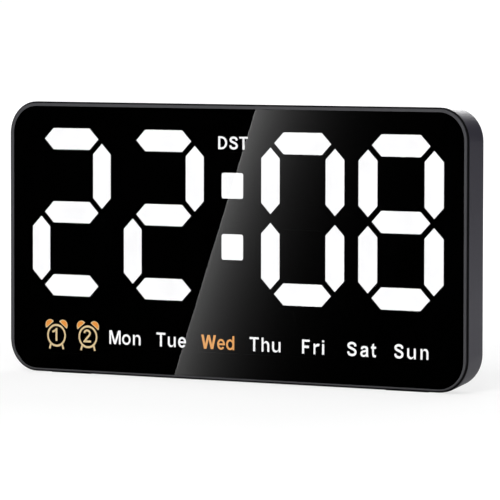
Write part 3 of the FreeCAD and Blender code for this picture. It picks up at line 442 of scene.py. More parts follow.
def stroke(points, width):
    """The outline of a pen stroke of one width along a run of points."""
    left, right = [], []
    for index, point in enumerate(points):
        before = Vector(points[max(index - 1, 0)])
        after = Vector(points[min(index + 1, len(points) - 1)])
        along = (after - before).normalized()
        side = Vector((-along.y, along.x)) * width / 2
        left.append(tuple(Vector(point) + side))
        right.append(tuple(Vector(point) - side))
    return left + right[::-1]


def block(x0, z0, x1, z1):
    return [(x0, z0), (x1, z0), (x1, z1), (x0, z1)]


def letter_o(wide):
    return [oval(wide / 2, X_HEIGHT / 2, wide / 2, X_HEIGHT / 2 + OVERSHOOT),
            oval(wide / 2, X_HEIGHT / 2, wide / 2 - STEM, X_HEIGHT / 2 - BAR)]


def letter_n(wide, tall=X_HEIGHT):
    arch = 1.85
    spring = X_HEIGHT - arch
    mid = (FIRM_STEM + wide) / 2 - 0.05
    outer = bow(mid, spring, wide - mid, arch + OVERSHOOT, 150, 0)
    inner = bow(wide / 2, spring, wide / 2 - FIRM_STEM, arch - BAR + OVERSHOOT, 0, 180)
    neck = FIRM_STEM if tall > X_HEIGHT else FIRM_STEM - NICK
    return [[(0, 0), (0, tall), (neck, tall), (neck, X_HEIGHT - 0.8)] + outer
            + [(wide, 0), (wide - FIRM_STEM, 0)] + inner + [(FIRM_STEM, 0)]]


def letter_h(wide):
    return letter_n(wide, CAP_H)


def letter_u(wide):
    return [[(wide - x, X_HEIGHT - z) for x, z in letter_n(wide)[0]]]


def letter_r(wide):
    shoulder = eased([(STEM - NICK, X_HEIGHT - 0.85), (STEM + 0.35, X_HEIGHT - 0.25),
                      (wide * 0.76, X_HEIGHT + OVERSHOOT), (wide, X_HEIGHT - 0.08)])
    under = eased([(wide - 0.32, X_HEIGHT - 1.22), (wide * 0.7, X_HEIGHT - 1.12),
                   (STEM + 0.22, X_HEIGHT - 1.55), (STEM, X_HEIGHT - 2.5)])
    return [[(0, 0), (0, X_HEIGHT), (STEM - NICK, X_HEIGHT)] + shoulder + under + [(STEM, 0)]]


def letter_i(wide):
    return [block(0, 0, wide, X_HEIGHT), block(0, CAP_H - BAR, wide, CAP_H)]


def letter_d(wide):
    back = wide - FIRM_STEM
    radius = back / 2 + 0.35
    bowl = bow(radius, X_HEIGHT / 2, radius, X_HEIGHT / 2 + OVERSHOOT, 52, 308)
    return [[(wide, 0), (wide, CAP_H), (back, CAP_H), (back, X_HEIGHT - 0.55)] + bowl
            + [(back + NICK, 0.5), (back + NICK, 0)],
            oval(wide / 2, X_HEIGHT / 2, wide / 2 - FIRM_STEM, X_HEIGHT / 2 - BAR)]


def letter_e(wide):
    mid_x, mid_z = wide / 2, X_HEIGHT / 2
    inner_x, inner_z = wide / 2 - STEM, X_HEIGHT / 2 - BAR
    low, high = 2.0, 2.85
    below = math.degrees(math.asin((low - mid_z) / inner_z))
    above = math.degrees(math.asin((high - mid_z) / inner_z))
    outer = bow(mid_x, mid_z, wide / 2, mid_z + OVERSHOOT, -9, 322)
    inner = bow(mid_x, mid_z, inner_x, inner_z, 318, 180 - below)
    return [outer + inner, bow(mid_x, mid_z, inner_x, inner_z, above, 180 - above)]


def letter_a(wide):
    grow = wide / 4.3
    bowl = eased([(3.05, 0.45), (2.4, 0.03), (1.5, -0.08), (0.55, 0.22), (0.02, 1.0), (0.1, 1.85),
                  (0.62, 2.5), (1.5, 2.82), (2.9, 3.06)])
    throat = eased([(2.9, 3.06), (2.84, 3.62), (2.45, 3.92), (1.85, 3.92), (1.42, 3.68), (1.28, 3.28)])
    back = eased([(0.18, 3.42), (0.52, 4.28), (1.25, 4.78), (2.2, 4.88), (3.15, 4.76), (3.85, 4.28),
                  (4.06, 3.5), (4.06, 1.25), (4.12, 0.5), (4.3, 0)])
    outer = eased([(3.2, 0), (3.05, 0.45)]) + bowl + throat + back
    hole = eased([(3.0, 2.24), (1.9, 2.0), (1.2, 1.74), (1.05, 1.3), (1.34, 0.86), (1.95, 0.76),
                  (2.7, 1.04), (2.98, 1.58)])
    return [[(x * grow, z) for x, z in loop] for loop in (outer, hole)]


def letter_t(wide):
    left, right = 0.6, 0.6 + STEM
    foot = eased([(right, 1.5), (right + 0.12, 1.06), (wide, 0.98)])
    under = eased([(wide, 0.04), (wide - 0.62, -OVERSHOOT), (left + 0.42, 0.14), (left, 1.2)])
    return [[(0, 3.82), (0, X_HEIGHT), (left, X_HEIGHT), (left, 5.6), (right, 6.22), (right, X_HEIGHT),
             (wide, X_HEIGHT), (wide, 3.82), (right, 3.82)] + foot + under + [(left, 3.82)]]


def letter_s_cap(wide):
    grow = wide / 5.2
    spine = eased([(4.52, 4.5), (4.05, 5.5), (2.65, 5.95), (1.25, 5.6), (0.78, 4.72), (1.35, 3.95),
                   (2.65, 3.42), (3.95, 2.82), (4.52, 1.86), (4.0, 0.88), (2.6, 0.5), (1.1, 0.92),
                   (0.6, 2.05)])
    return [stroke([(x * grow, z) for x, z in spine], CAP_STEM)]


def letter_d_cap(wide):
    turn = wide - CAP_H * 0.48
    return [[(0, 0), (0, CAP_H)] + bow(turn, CAP_H / 2, wide - turn, CAP_H / 2, 90, -90),
            [(CAP_STEM, CAP_BAR), (CAP_STEM, CAP_H - CAP_BAR)]
            + bow(turn, CAP_H / 2, wide - turn - CAP_STEM, CAP_H / 2 - CAP_BAR, 90, -90)]


def letter_t_cap(wide):
    left, right = wide / 2 - CAP_STEM / 2, wide / 2 + CAP_STEM / 2
    under = CAP_H - CAP_BAR
    return [[(left, 0), (right, 0), (right, under), (wide, under), (wide, CAP_H), (0, CAP_H), (0, under),
             (left, under)]]


def letter_f_cap(wide):
    low, high, arm = 2.64, 3.76, wide * 0.9
    under = CAP_H - CAP_BAR
    return [[(0, 0), (CAP_STEM, 0), (CAP_STEM, low), (arm, low), (arm, high), (CAP_STEM, high),
             (CAP_STEM, under), (wide, under), (wide, CAP_H), (0, CAP_H)]]


def letter_m_cap(wide):
    shoulder, notch, waist, half_point = 1.38, 1.45, 4.85, 0.5
    return [[(0, 0), (0, CAP_H), (shoulder, CAP_H), (wide / 2, notch), (wide - shoulder, CAP_H),
             (wide, CAP_H), (wide, 0), (wide - STEM, 0), (wide - STEM, waist), (wide / 2 + half_point, 0),
             (wide / 2 - half_point, 0), (STEM, waist), (STEM, 0)]]


def letter_w_cap(wide):
    top, foot = 1.32, 0.66
    quarter, lift, peak = wide * 0.27, 2.2, 4.4
    left = [(0, CAP_H), (quarter - foot, 0), (quarter + foot, 0), (wide / 2, peak)]
    right = [(wide - x, z) for x, z in left[:3]][::-1]
    inner_right = [(wide - top, CAP_H), (wide - quarter, lift), (wide / 2 + foot, CAP_H)]
    inner_left = [(wide - x, z) for x, z in inner_right][::-1]
    return [left + right + inner_right + inner_left]


def numeral_one(wide):
    back, top = wide - 1.0, 6.1
    return [[(back, 0), (wide, 0), (wide, top), (wide - 0.8, top)]
            + eased([(wide - 0.8, top), (wide - 1.25, 5.5), (wide - 2.0, 5.02), (0, 4.78)])
            + [(0, 3.86)] + eased([(0, 3.86), (wide - 1.75, 4.1), (back, 4.5)])]


def numeral_two(wide):
    grow = wide / 4.5
    foot = 0.92
    pen = 0.96
    spine = eased([(0.62, 4.35), (0.95, 5.2), (2.2, 5.62), (3.45, 5.2), (3.85, 4.3), (3.4, 3.3), (2.3, 2.2),
                   (1.35, 1.25), (0.85, 0.62)])
    hook = stroke([(x * grow, z) for x, z in spine], pen)
    half = len(hook) // 2
    outer = [point for point in hook[:half] if point[1] > foot]
    return [outer + [(outer[-1][0], foot), (wide, foot), (wide, 0), (0, 0), (0, 0.55)] + hook[half:]]


LETTERS = {
    "M": letter_m_cap, "T": letter_t_cap, "W": letter_w_cap, "F": letter_f_cap, "S": letter_s_cap,
    "D": letter_d_cap, "o": letter_o, "n": letter_n, "u": letter_u, "e": letter_e, "d": letter_d,
    "h": letter_h, "r": letter_r, "i": letter_i, "a": letter_a, "t": letter_t,
    "1": numeral_one, "2": numeral_two,
}


def shifted(loops, x, z):
    return [[(px + x, pz + z) for px, pz in loop] for loop in loops]


SAME_PLACE = 1e-7


def upright(x, y, z):
    """Stands a flat shape up in the plane of the front, at a place in millimetres."""
    return Matrix.Translation((x * MM, y * MM, z * MM)) @ Matrix.Rotation(math.pi / 2, 4, "X")


def flat_piece(name, loops, front_y, back_y, material, body):
    """A flat solid with the loops as its outline, facing the front."""
    curve = bpy.data.curves.new(name, "CURVE")
    curve.dimensions = "2D"
    curve.fill_mode = "BOTH"
    curve.extrude = (back_y - front_y) / 2 * MM
    for loop in loops:
        spline = curve.splines.new("POLY")
        spline.points.add(len(loop) - 1)
        for point, (x, z) in zip(spline.points, loop):
            point.co = (x * MM, z * MM, 0.0, 1.0)
        spline.use_cyclic_u = True
    carrier = bpy.data.objects.new(name + "_outline", curve)
    mesh = bpy.data.meshes.new_from_object(carrier)
    bpy.data.objects.remove(carrier)
    mesh.transform(upright(0.0, (front_y + back_y) / 2, 0.0))
    work = bmesh.new()
    work.from_mesh(mesh)
    bmesh.ops.remove_doubles(work, verts=work.verts, dist=SAME_PLACE)
    bmesh.ops.recalc_face_normals(work, faces=work.faces)
    work.to_mesh(mesh)
    work.free()
    return add_piece(name, mesh, material, body)


def add_piece(name, mesh, material, body):
    """Puts a mesh that is already in its place on its body."""
    mesh.materials.clear()
    mesh.materials.append(material)
    mesh.name = name
    piece = bpy.data.objects.new(name, mesh)
    bpy.context.scene.collection.objects.link(piece)
    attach(piece, body)
    return piece


def outline_box(mid_x, mid_z, wide, tall, radius, steps=16):
    """A rounded rectangle."""
    x1, z1 = mid_x + wide / 2 - radius, mid_z + tall / 2 - radius
    x0, z0 = mid_x - wide / 2 + radius, mid_z - tall / 2 + radius
    return (bow(x1, z1, radius, radius, 0, 90, steps) + bow(x0, z1, radius, radius, 90, 180, steps)
            + bow(x0, z0, radius, radius, 180, 270, steps) + bow(x1, z0, radius, radius, 270, 360, steps))


# ---------------------------------------------------------------- repeated bars

BAR_INPUTS = [
    ("Count", "NodeSocketInt", 8),
    ("Spacing", FLOAT, 0.01),
    ("Bar Length", FLOAT, 0.002),
    ("Bar Width", FLOAT, 0.0005),
    ("Bar Height", FLOAT, 0.0002),
    ("Finish", "NodeSocketMaterial", None),
]


def new_bar_tree(name):
    """A Geometry Nodes tree that takes the sizes of a set of bars, and the bar itself."""
    tree = bpy.data.node_groups.new(name, "GeometryNodeTree")
    for label, kind, value in BAR_INPUTS:
        socket = tree.interface.new_socket(label, in_out="INPUT", socket_type=kind)
        if value is not None:
            socket.default_value = value
    tree.interface.new_socket("Bars", in_out="OUTPUT", socket_type="NodeSocketGeometry")
    given = tree.nodes.new("NodeGroupInput")
    size = node(tree, "ShaderNodeCombineXYZ", {
        "X": given.outputs["Bar Length"], "Y": given.outputs["Bar Width"], "Z": given.outputs["Bar Height"]})
    bar = node(tree, "GeometryNodeMeshCube", {"Size": size.outputs[0]})
    return tree, given, bar.outputs["Mesh"]


def finish_bar_tree(tree, given, points, bar, turn=None):
    """Puts a bar on each point and gives it its finish."""
    placed = node(tree, "GeometryNodeInstanceOnPoints", {"Points": points, "Instance": bar})
    if turn is not None:
        tree.links.new(turn, placed.inputs["Rotation"])
    solid = node(tree, "GeometryNodeRealizeInstances", {0: placed.outputs[0]})
    finished = node(tree, "GeometryNodeSetMaterial", {"Geometry": solid.outputs[0],
                                                      "Material": given.outputs["Finish"]})
    result = tree.nodes.new("NodeGroupOutput")
    tree.links.new(finished.outputs[0], result.inputs["Bars"])
    return tree


def ring_of_bars():
    """Bars that point outwards from the middle of a ring; Spacing is the ring's radius."""
    tree, given, bar = new_bar_tree("ring_of_bars")
    ring = node(tree, "GeometryNodeMeshCircle", {"Vertices": given.outputs["Count"],
                                                 "Radius": given.outputs["Spacing"]})
    outward = tree.nodes.new("GeometryNodeInputPosition").outputs[0]
    turn = node(tree, "FunctionNodeAlignRotationToVector", {"Vector": outward}, axis="X", pivot_axis="Z")
    return finish_bar_tree(tree, given, ring.outputs[0], bar, turn.outputs[0])


def row_of_bars():
    """Bars one above another; Spacing is from one to the next."""
    tree, given, bar = new_bar_tree("row_of_bars")
    step = node(tree, "ShaderNodeCombineXYZ", {"Y": given.outputs["Spacing"]})
    line = node(tree, "GeometryNodeMeshLine", {"Count": given.outputs["Count"], "Offset": step.outputs[0]})
    return finish_bar_tree(tree, given, line.outputs[0], bar)


RING_OF_BARS = ring_of_bars()
ROW_OF_BARS = row_of_bars()
BAR_EDGE_R = 0.05


def bars_piece(name, tree, count, spacing, bar_size, at, material, body):
    """A set of bars on a back face: its size and place are in millimetres."""
    mesh = bpy.data.meshes.new(name)
    grower = bpy.data.objects.new(name, mesh)
    bpy.context.scene.collection.objects.link(grower)
    modifier = grower.modifiers.new("bars", "NODES")
    modifier.node_group = tree
    length, width, height = (v * MM for v in bar_size)
    values = {"Count": count, "Spacing": spacing * MM, "Bar Length": length, "Bar Width": width,
              "Bar Height": height, "Finish": material}
    for socket in tree.interface.items_tree:
        if socket.in_out == "INPUT":
            modifier[socket.identifier] = values[socket.name]
    bpy.context.view_layer.update()
    evaluated = grower.evaluated_get(bpy.context.evaluated_depsgraph_get())
    made = bpy.data.meshes.new_from_object(evaluated)
    bpy.data.objects.remove(grower)
    made.transform(upright(*at))
    piece = add_piece(name, made, material, body)
    rounded_edges(piece, "softened_edge", BAR_EDGE_R, segments=2, over_angle=40)
    return piece


def rounded_edges(piece, name, width, segments, over_angle):
    """Rounds the edges of a piece that turn by more than an angle, by so many millimetres."""
    edge = piece.modifiers.new(name, "BEVEL")
    edge.width = width * MM
    edge.segments = segments
    edge.limit_method = "ANGLE"
    edge.angle_limit = math.radians(over_angle)


# ---------------------------------------------------------------- back of the case

MARK_BACK_Y = 7.48
MARK_ROOT_Y = 7.3
MARK_MID_Y = (MARK_BACK_Y + MARK_ROOT_Y) / 2
MARK_DEEP = MARK_BACK_Y - MARK_ROOT_Y
BUTTONS = ("set", "down", "up", "alarm", "dim")
BUTTON_PITCH = 22.0
BUTTON_Z = 98.4
GEAR_R = 1.6
GEAR_HOLE_R = 0.75
SUN_R = 1.0
# Teeth and rays: the radius of their ring, their length and their width.
RAY_COUNT = 8
GEAR_TEETH = (1.9, 0.9, 0.6)
SUN_RAYS = (2.0, 0.9, 0.34)
GRIP_COUNT = 36
GRIP_RING_R = 10.35
GRIP_SIZE = (1.9, 0.45, MARK_DEEP)
RIB_COUNT = 3
RIB_PITCH = 0.85
RIB_FIRST = 0.8
RIB_SIZE = (22.4, 0.4, 0.24)
STAND_TIP_FACE_Y = 7.35


def button_x(button):
    return (BUTTONS.index(button) - len(BUTTONS) // 2) * BUTTON_PITCH


def button_symbol(button, loops):
    """A raised symbol on a button's face."""
    placed = shifted(loops, button_x(button), BUTTON_Z)
    flat_piece(button + "_symbol", placed, MARK_ROOT_Y, MARK_BACK_Y, PRINTED_SYMBOL, button + "_button")


def button_rays(name, button, radius, length, width):
    """Bars round a button's symbol, such as a gear's teeth."""
    bars_piece(name, RING_OF_BARS, RAY_COUNT, radius, (length, width, MARK_DEEP),
               (button_x(button), MARK_MID_Y, BUTTON_Z), PRINTED_SYMBOL, button + "_button")


def pointer(side):
    """A triangle that points up for 1 and down for -1."""
    half_base, base_z, tip_z = 1.7, -1.0 * side, 1.6 * side
    return [(-half_base, base_z), (half_base, base_z), (0, tip_z)]


def bell_with_clapper():
    rim = [(-2.0, -1.2), (2.0, -1.2), (1.45, -0.6)]
    dome = bow(0, 0.35, 1.4, 1.45, 0, 180, 16)
    return [rim + dome + [(-1.45, -0.6)], bow(0, -1.45, 0.6, 0.6, 180, 360, 10)]


def make_back_marks():
    """Symbols on the five buttons, grips round the cell cap and ribs on the stand's rubber."""
    button_symbol("set", [oval(0, 0, GEAR_R, GEAR_R), oval(0, 0, GEAR_HOLE_R, GEAR_HOLE_R)])
    button_rays("set_teeth", "set", *GEAR_TEETH)
    button_symbol("down", [pointer(-1)])
    button_symbol("up", [pointer(1)])
    button_symbol("alarm", bell_with_clapper())
    button_symbol("dim", [oval(0, 0, SUN_R, SUN_R)])
    button_rays("dim_rays", "dim", *SUN_RAYS)
    bars_piece("cap_grips", RING_OF_BARS, GRIP_COUNT, GRIP_RING_R, GRIP_SIZE, (CAP_X, MARK_MID_Y, CAP_Z),
               FINISHES["button_grey"], "cell_cap")
    sole_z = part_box("stand_tip")[0].z / MM
    bars_piece("tip_ribs", ROW_OF_BARS, RIB_COUNT, RIB_PITCH, RIB_SIZE,
               (0.0, STAND_TIP_FACE_Y, sole_z + RIB_FIRST), FINISHES["rubber_black"], "stand")


make_back_marks()


# ---------------------------------------------------------------- front lens

LENS_CORNER_R = 12.75
LENS_EDGE_R = 0.12
LENS_CLEARANCE = 0.04


def make_lens():
    """The smoked front sheet, a hair thinner than its seat so that nothing touches the mask."""
    low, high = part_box("front_lens")
    x0, z0, x1, z1 = (v / MM for v in (low.x, low.z, high.x, high.z))
    outline = outline_box((x0 + x1) / 2, (z0 + z1) / 2, x1 - x0, z1 - z0, LENS_CORNER_R, 32)
    lens = flat_piece("front_lens_polished", [outline], low.y / MM, high.y / MM - LENS_CLEARANCE,
                      FINISHES["smoked_lens"], "case")
    rounded_edges(lens, "polished_edge", LENS_EDGE_R, segments=3, over_angle=60)
    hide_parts("front_lens")


make_lens()


# ---------------------------------------------------------------- words and icons

# Each letter of a word: its left edge and its width, from the middle of the digits.
DAY_WORDS = [
    [("M", -68.4, 6.32), ("o", -61.2, 4.75), ("n", -55.05, 4.25)],
    [("T", -41.85, 4.92), ("u", -35.5, 4.3), ("e", -29.8, 4.35)],
    [("W", -17.0, 8.15), ("e", -8.2, 4.25), ("d", -3.3, 4.45)],
    [("T", 9.55, 4.98), ("h", 16.1, 4.1), ("u", 21.8, 4.5)],
    [("F", 37.95, 4.05), ("r", 44.1, 3.2), ("i", 48.65, 1.1)],
    [("S", 61.9, 5.2), ("a", 69.0, 4.25), ("t", 74.6, 2.6)],
    [("S", 86.7, 5.0), ("u", 93.55, 4.45), ("n", 100.5, 4.05)],
]
DST_WORD = [("D", -7.75, 4.85), ("S", -1.7, 4.72), ("T", 3.75, 4.6)]
DST_HEIGHT = 0.915
FILM_GAP = 0.02
FILM_CORNER_R = 0.3


def word_loops(word, base_z, tall=1.0):
    loops = []
    for letter, left, wide in word:
        outline = [[(x, z * tall) for x, z in loop] for loop in LETTERS[letter](wide)]
        loops += shifted(outline, left + DIGITS_X, base_z)
    return loops


def make_window(name, boxes, node_name):
    """The dark film that fills a row of windows behind its words."""
    loops = [outline_box(x, z, wide - FILM_GAP, tall - FILM_GAP, FILM_CORNER_R, 6)
             for x, z, wide, tall in boxes]
    film = flat_piece(name, loops, FILM_FRONT_Y, FILM_BACK_Y, FILM_BLACK, "case")
    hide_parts(node_name)


def make_words():
    for index, word in enumerate(DAY_WORDS):
        glow = "lit_orange" if index == TODAY else "lit_white"
        flat_piece("weekday_word_%d" % (index + 1), word_loops(word, DAY_BASE_Z), WORD_FRONT_Y, FILM_FRONT_Y,
                   FINISHES[glow], "case")
    flat_piece("dst_word", word_loops(DST_WORD, DST_BASE_Z, DST_HEIGHT), WORD_FRONT_Y, FILM_FRONT_Y,
               FINISHES["lit_white"], "case")
    days = [(DAY_X0 + index * DAY_PITCH, DAY_Z, DAY_W, DAY_H) for index in range(len(DAY_WORDS))]
    make_window("weekday_film", [box for index, box in enumerate(days) if index != TODAY],
                "weekday_windows")
    make_window("today_film", [days[TODAY]], "today_window")
    make_window("dst_film", [DST_BOX], "dst_window")
    make_window("alarm_film", [(x, ALARM_Z) + ALARM_BOX for x in ALARM_X], "alarm_windows")


# The alarm icons: each one's number, its middle, and the number's width and left edge from that middle.
ALARMS = (("1", -98.65, 2.8, -2.35), ("2", -80.65, 4.3, -2.55))
ICON_RISE = 2.8
NUMBER_DROP = 2.62
ICON_RING_OUT = (5.36, 5.36)
ICON_RING_IN = (4.5, 4.4)
BELL_W = 2.65
BELL_H = 0.95 * BELL_W
BELL_OUT = 6.2
BELL_LEAN = 37
BELL_LINE = 0.675
LEG_SUNK = 0.005


def bell(mid_x, mid_z, side):
    """A half round bell, leaning out from the top of its ring."""
    lean = math.radians(BELL_LEAN) * side
    out = Vector((math.sin(lean), math.cos(lean)))
    across = Vector((math.cos(lean), -math.sin(lean)))
    foot = Vector((mid_x, mid_z)) + out * BELL_OUT
    dome = bow(0, 0, BELL_W, BELL_H, 0, 180, 20)
    return [tuple(foot + across * x + out * z) for x, z in dome]


def inset(loop, margin):
    """The loop shrunk towards its own middle, by the margin where it reaches farthest."""
    middle = sum((Vector(p) for p in loop), Vector((0, 0))) / len(loop)
    reach = max((Vector(p) - middle).length for p in loop)
    return [tuple(middle + (Vector(p) - middle) * (1 - margin / reach)) for p in loop]


def leg(mid_x, mid_z, side):
    """A short foot that tapers away from the ring."""
    points = [(2.8, -4.3), (3.65, -3.85), (4.45, -6.3), (3.5, -6.55)]
    return [(mid_x + side * x, mid_z + z) for x, z in points][::side]


def make_icons():
    """Two ringing alarms with their numbers."""
    for number, mid_x, wide, left in ALARMS:
        mid_x += DIGITS_X
        mid_z = DAY_BASE_Z + ICON_RISE
        bells_out = [bell(mid_x, mid_z, side) for side in (-1, 1)]
        bells_in = [inset(loop, BELL_LINE) for loop in bells_out]
        rings = [oval(mid_x, mid_z, *radii, 56) for radii in (ICON_RING_OUT, ICON_RING_IN)]
        digit = shifted(LETTERS[number](wide), mid_x + left, mid_z - NUMBER_DROP)
        legs = [leg(mid_x, mid_z, side) for side in (-1, 1)]
        outline = bells_out + bells_in + rings + digit
        flat_piece("alarm_%s_outline" % number, outline, WORD_FRONT_Y, FILM_FRONT_Y, CREAM_GLOW, "case")
        flat_piece("alarm_%s_legs" % number, legs, WORD_FRONT_Y + LEG_SUNK, FILM_FRONT_Y, CREAM_GLOW, "case")
        flat_piece("alarm_%s_bells" % number, bells_in, WORD_FRONT_Y, FILM_FRONT_Y, BELL_GLOW, "case")


make_words()
make_icons()


# ---------------------------------------------------------------- studio

CAMERA_PLACE = Vector((1.1192, -1.7348, 0.1713))
CAMERA_YAW = math.radians(32.7064)
CAMERA_PITCH = math.radians(3.07)
CAMERA_ROLL = math.radians(0.095)
CAMERA_LENS = 323.3


def make_camera():
    data = bpy.data.cameras.new("studio_camera")
    data.lens = CAMERA_LENS
    data.sensor_width = 36.0
    data.clip_start = 0.05
    data.clip_end = 60.0
    ahead = Vector((-math.sin(CAMERA_YAW) * math.cos(CAMERA_PITCH),
                    math.cos(CAMERA_YAW) * math.cos(CAMERA_PITCH), -math.sin(CAMERA_PITCH)))
    level = Vector((math.cos(CAMERA_YAW), math.sin(CAMERA_YAW), 0.0))
    above = level.cross(ahead)
    right = level * math.cos(CAMERA_ROLL) + above * math.sin(CAMERA_ROLL)
    up = above * math.cos(CAMERA_ROLL) - level * math.sin(CAMERA_ROLL)
    turn = Matrix((right, up, -ahead)).transposed().to_4x4()
    camera = bpy.data.objects.new("studio_camera", data)
    camera.matrix_world = Matrix.Translation(CAMERA_PLACE) @ turn
    bpy.context.scene.collection.objects.link(camera)
    bpy.context.scene.camera = camera


def soft_lamp(name, place, wide, tall, watts):
    """A rectangle of light that faces the clock's middle."""
    data = bpy.data.lights.new(name, "AREA")
    data.shape = "RECTANGLE"
    data.size = wide
    data.size_y = tall
    data.energy = watts
    lamp = bpy.data.objects.new(name, data)
    lamp.location = place
    lamp.rotation_euler = (Vector(LAMP_AIM) - Vector(place)).to_track_quat("-Z", "Y").to_euler()
    bpy.context.scene.collection.objects.link(lamp)
    return lamp


def stage_plane(name, corners, material):
    mesh = bpy.data.meshes.new(name)
    mesh.from_pydata(corners, [], [tuple(range(len(corners)))])
    mesh.materials.append(material)
    plane = bpy.data.objects.new(name, mesh)
    bpy.context.scene.collection.objects.link(plane)
    return plane


def only_mirrored(card):
    """Leaves a card to be seen in polished faces alone."""
    card.visible_camera = False
    card.visible_diffuse = False
    card.visible_transmission = False
    card.visible_shadow = False


def bare_material(name):
    """A material with nothing but its output, for the stage."""
    material, tree, shader = blank_material(name)
    tree.nodes.remove(shader)
    return material, tree, tree.nodes["Material Output"]


# The floor's reach is its distance from the clock's middle, in metres.
FLOOR_HALF = 8.0
FLOOR_LIT = 0.8
FLOOR_SEEN = 0.3
FLOOR_MOTTLE = 0.02
MOTTLE_SCALE = 9.0
FLOOR_GLOW = 0.69
GLOW_REACH = (0.25, 0.9)
MIRROR_GLOW = 1.2
MIRROR_REACH = (0.4, 1.3)
MIRROR_X = (0.08, 0.2)
MIRROR_LEFT = 0.1


def floor_material():
    """Pale matt floor: white to the eye, glowing behind the clock in its gloss, and clear in front of it."""
    material, tree, output = bare_material("studio_floor_pale")
    path = node(tree, "ShaderNodeLightPath")
    coordinates = object_place(tree)
    place = node(tree, "ShaderNodeSeparateXYZ", {0: coordinates})
    reach = node(tree, "ShaderNodeVectorMath", {0: coordinates}, operation="LENGTH").outputs["Value"]
    mottle = noise(tree, coordinates, MOTTLE_SCALE, 3.0)
    behind = math_node(tree, "GREATER_THAN", place.outputs["Y"], 0.0)
    refracted = math_node(tree, "MULTIPLY", path.outputs["Is Transmission Ray"], behind)
    seen = math_node(tree, "MAXIMUM", path.outputs["Is Camera Ray"], refracted)
    shade = ramp(tree, seen, 0.0, 1.0, FLOOR_LIT, FLOOR_SEEN)
    tone = math_node(tree, "MULTIPLY_ADD", mottle, FLOOR_MOTTLE, shade)
    grey = node(tree, "ShaderNodeCombineColor", {0: tone, 1: tone, 2: tone})
    matt = node(tree, "ShaderNodeBsdfDiffuse", {"Color": grey.outputs[0]})
    fade_out = ramp(tree, reach, *GLOW_REACH, FLOOR_GLOW, 1.0)
    near = ramp(tree, reach, *MIRROR_REACH, MIRROR_GLOW, 0.0)
    rightward = ramp(tree, place.outputs["X"], *MIRROR_X, MIRROR_LEFT, 1.0)
    mirrored = math_node(tree, "MULTIPLY", path.outputs["Is Glossy Ray"], behind)
    eye_power = math_node(tree, "MULTIPLY", seen, fade_out)
    gloss_power = math_node(tree, "MULTIPLY", mirrored, math_node(tree, "MULTIPLY", near, rightward))
    glow = node(tree, "ShaderNodeEmission", {"Strength": math_node(tree, "ADD", eye_power, gloss_power)})
    both = node(tree, "ShaderNodeAddShader", {0: matt.outputs[0], 1: glow.outputs[0]})
    mirror_only = node(tree, "ShaderNodeMixShader", {0: mirrored, 1: both.outputs[0], 2: glow.outputs[0]})
    through = math_node(tree, "SUBTRACT", path.outputs["Is Glossy Ray"], mirrored)
    clear = node(tree, "ShaderNodeBsdfTransparent")
    choice = node(tree, "ShaderNodeMixShader", {0: through, 1: mirror_only.outputs[0], 2: clear.outputs[0]})
    tree.links.new(choice.outputs[0], output.inputs["Surface"])
    return material


# What the world shows: its strengths, and the spans of direction over which they come in.
WORLD_WHITE = 1.02
WORLD_AMBIENT = 0.4
WORLD_BEHIND = 0.65
WORLD_OVERHEAD = 0.5
BEHIND_Y = (0.1, 0.6)
BEHIND_X = (-0.52, -0.26)
BEHIND_RIGHT = 0.06
BEHIND_Z = (0.05, 0.22)
OVERHEAD_Z = (0.35, 1.0)


def make_world():
    """White to the eye, an even soft light on the surfaces, and dark in front for the glass."""
    world = bpy.data.worlds.new("studio_world")
    world.use_nodes = True
    bpy.context.scene.world = world
    tree = world.node_tree
    background = tree.nodes["Background"]
    path = node(tree, "ShaderNodeLightPath")
    aim = node(tree, "ShaderNodeSeparateXYZ", {0: node(tree, "ShaderNodeTexCoord").outputs["Generated"]})
    rearward = math_node(tree, "GREATER_THAN", aim.outputs["Y"], 0.0)
    refracted = math_node(tree, "MULTIPLY", path.outputs["Is Transmission Ray"], rearward)
    seen = math_node(tree, "MAXIMUM", path.outputs["Is Camera Ray"], refracted)
    rear = ramp(tree, aim.outputs["Y"], *BEHIND_Y, 0.0, WORLD_BEHIND)
    left = ramp(tree, aim.outputs["X"], *BEHIND_X, 1.0, BEHIND_RIGHT)
    raised = ramp(tree, aim.outputs["Z"], *BEHIND_Z)
    behind = math_node(tree, "MULTIPLY", math_node(tree, "MULTIPLY", rear, left), raised)
    overhead = ramp(tree, aim.outputs["Z"], *OVERHEAD_Z, 0.0, WORLD_OVERHEAD)
    mirrored = math_node(tree, "MAXIMUM", behind, overhead)
    soft = node(tree, "ShaderNodeMix", {"Factor": path.outputs["Is Glossy Ray"], "A": WORLD_AMBIENT,
                                        "B": mirrored}, data_type="FLOAT")
    power = node(tree, "ShaderNodeMix", {"Factor": seen, "A": soft.outputs[0], "B": WORLD_WHITE},
                 data_type="FLOAT")
    background.inputs["Color"].default_value = (1.0, 1.0, 1.0, 1.0)
    tree.links.new(power.outputs[0], background.inputs["Strength"])


# The soft box that the glass mirrors: its edge on the glass, in millimetres from the middle of the digits.
EDGE_TOP = (11.42, 46.82)
EDGE_LOW = (-28.75, -64.88)
EDGE_OVERRUN = 40.0
GLASS_Y = -7.4
EYE_SHIFT_X = 0.34
CARD_Y = -0.22
CARD_REACH = 95.0
CARD_RIM = 0.55
CARD_RIM_LIFT = 0.45
CARD_FADE = 13.6
CARD_TOP = 2.36
CARD_LOW = 1.64
CARD_SPAN = (0.2, 0.8)


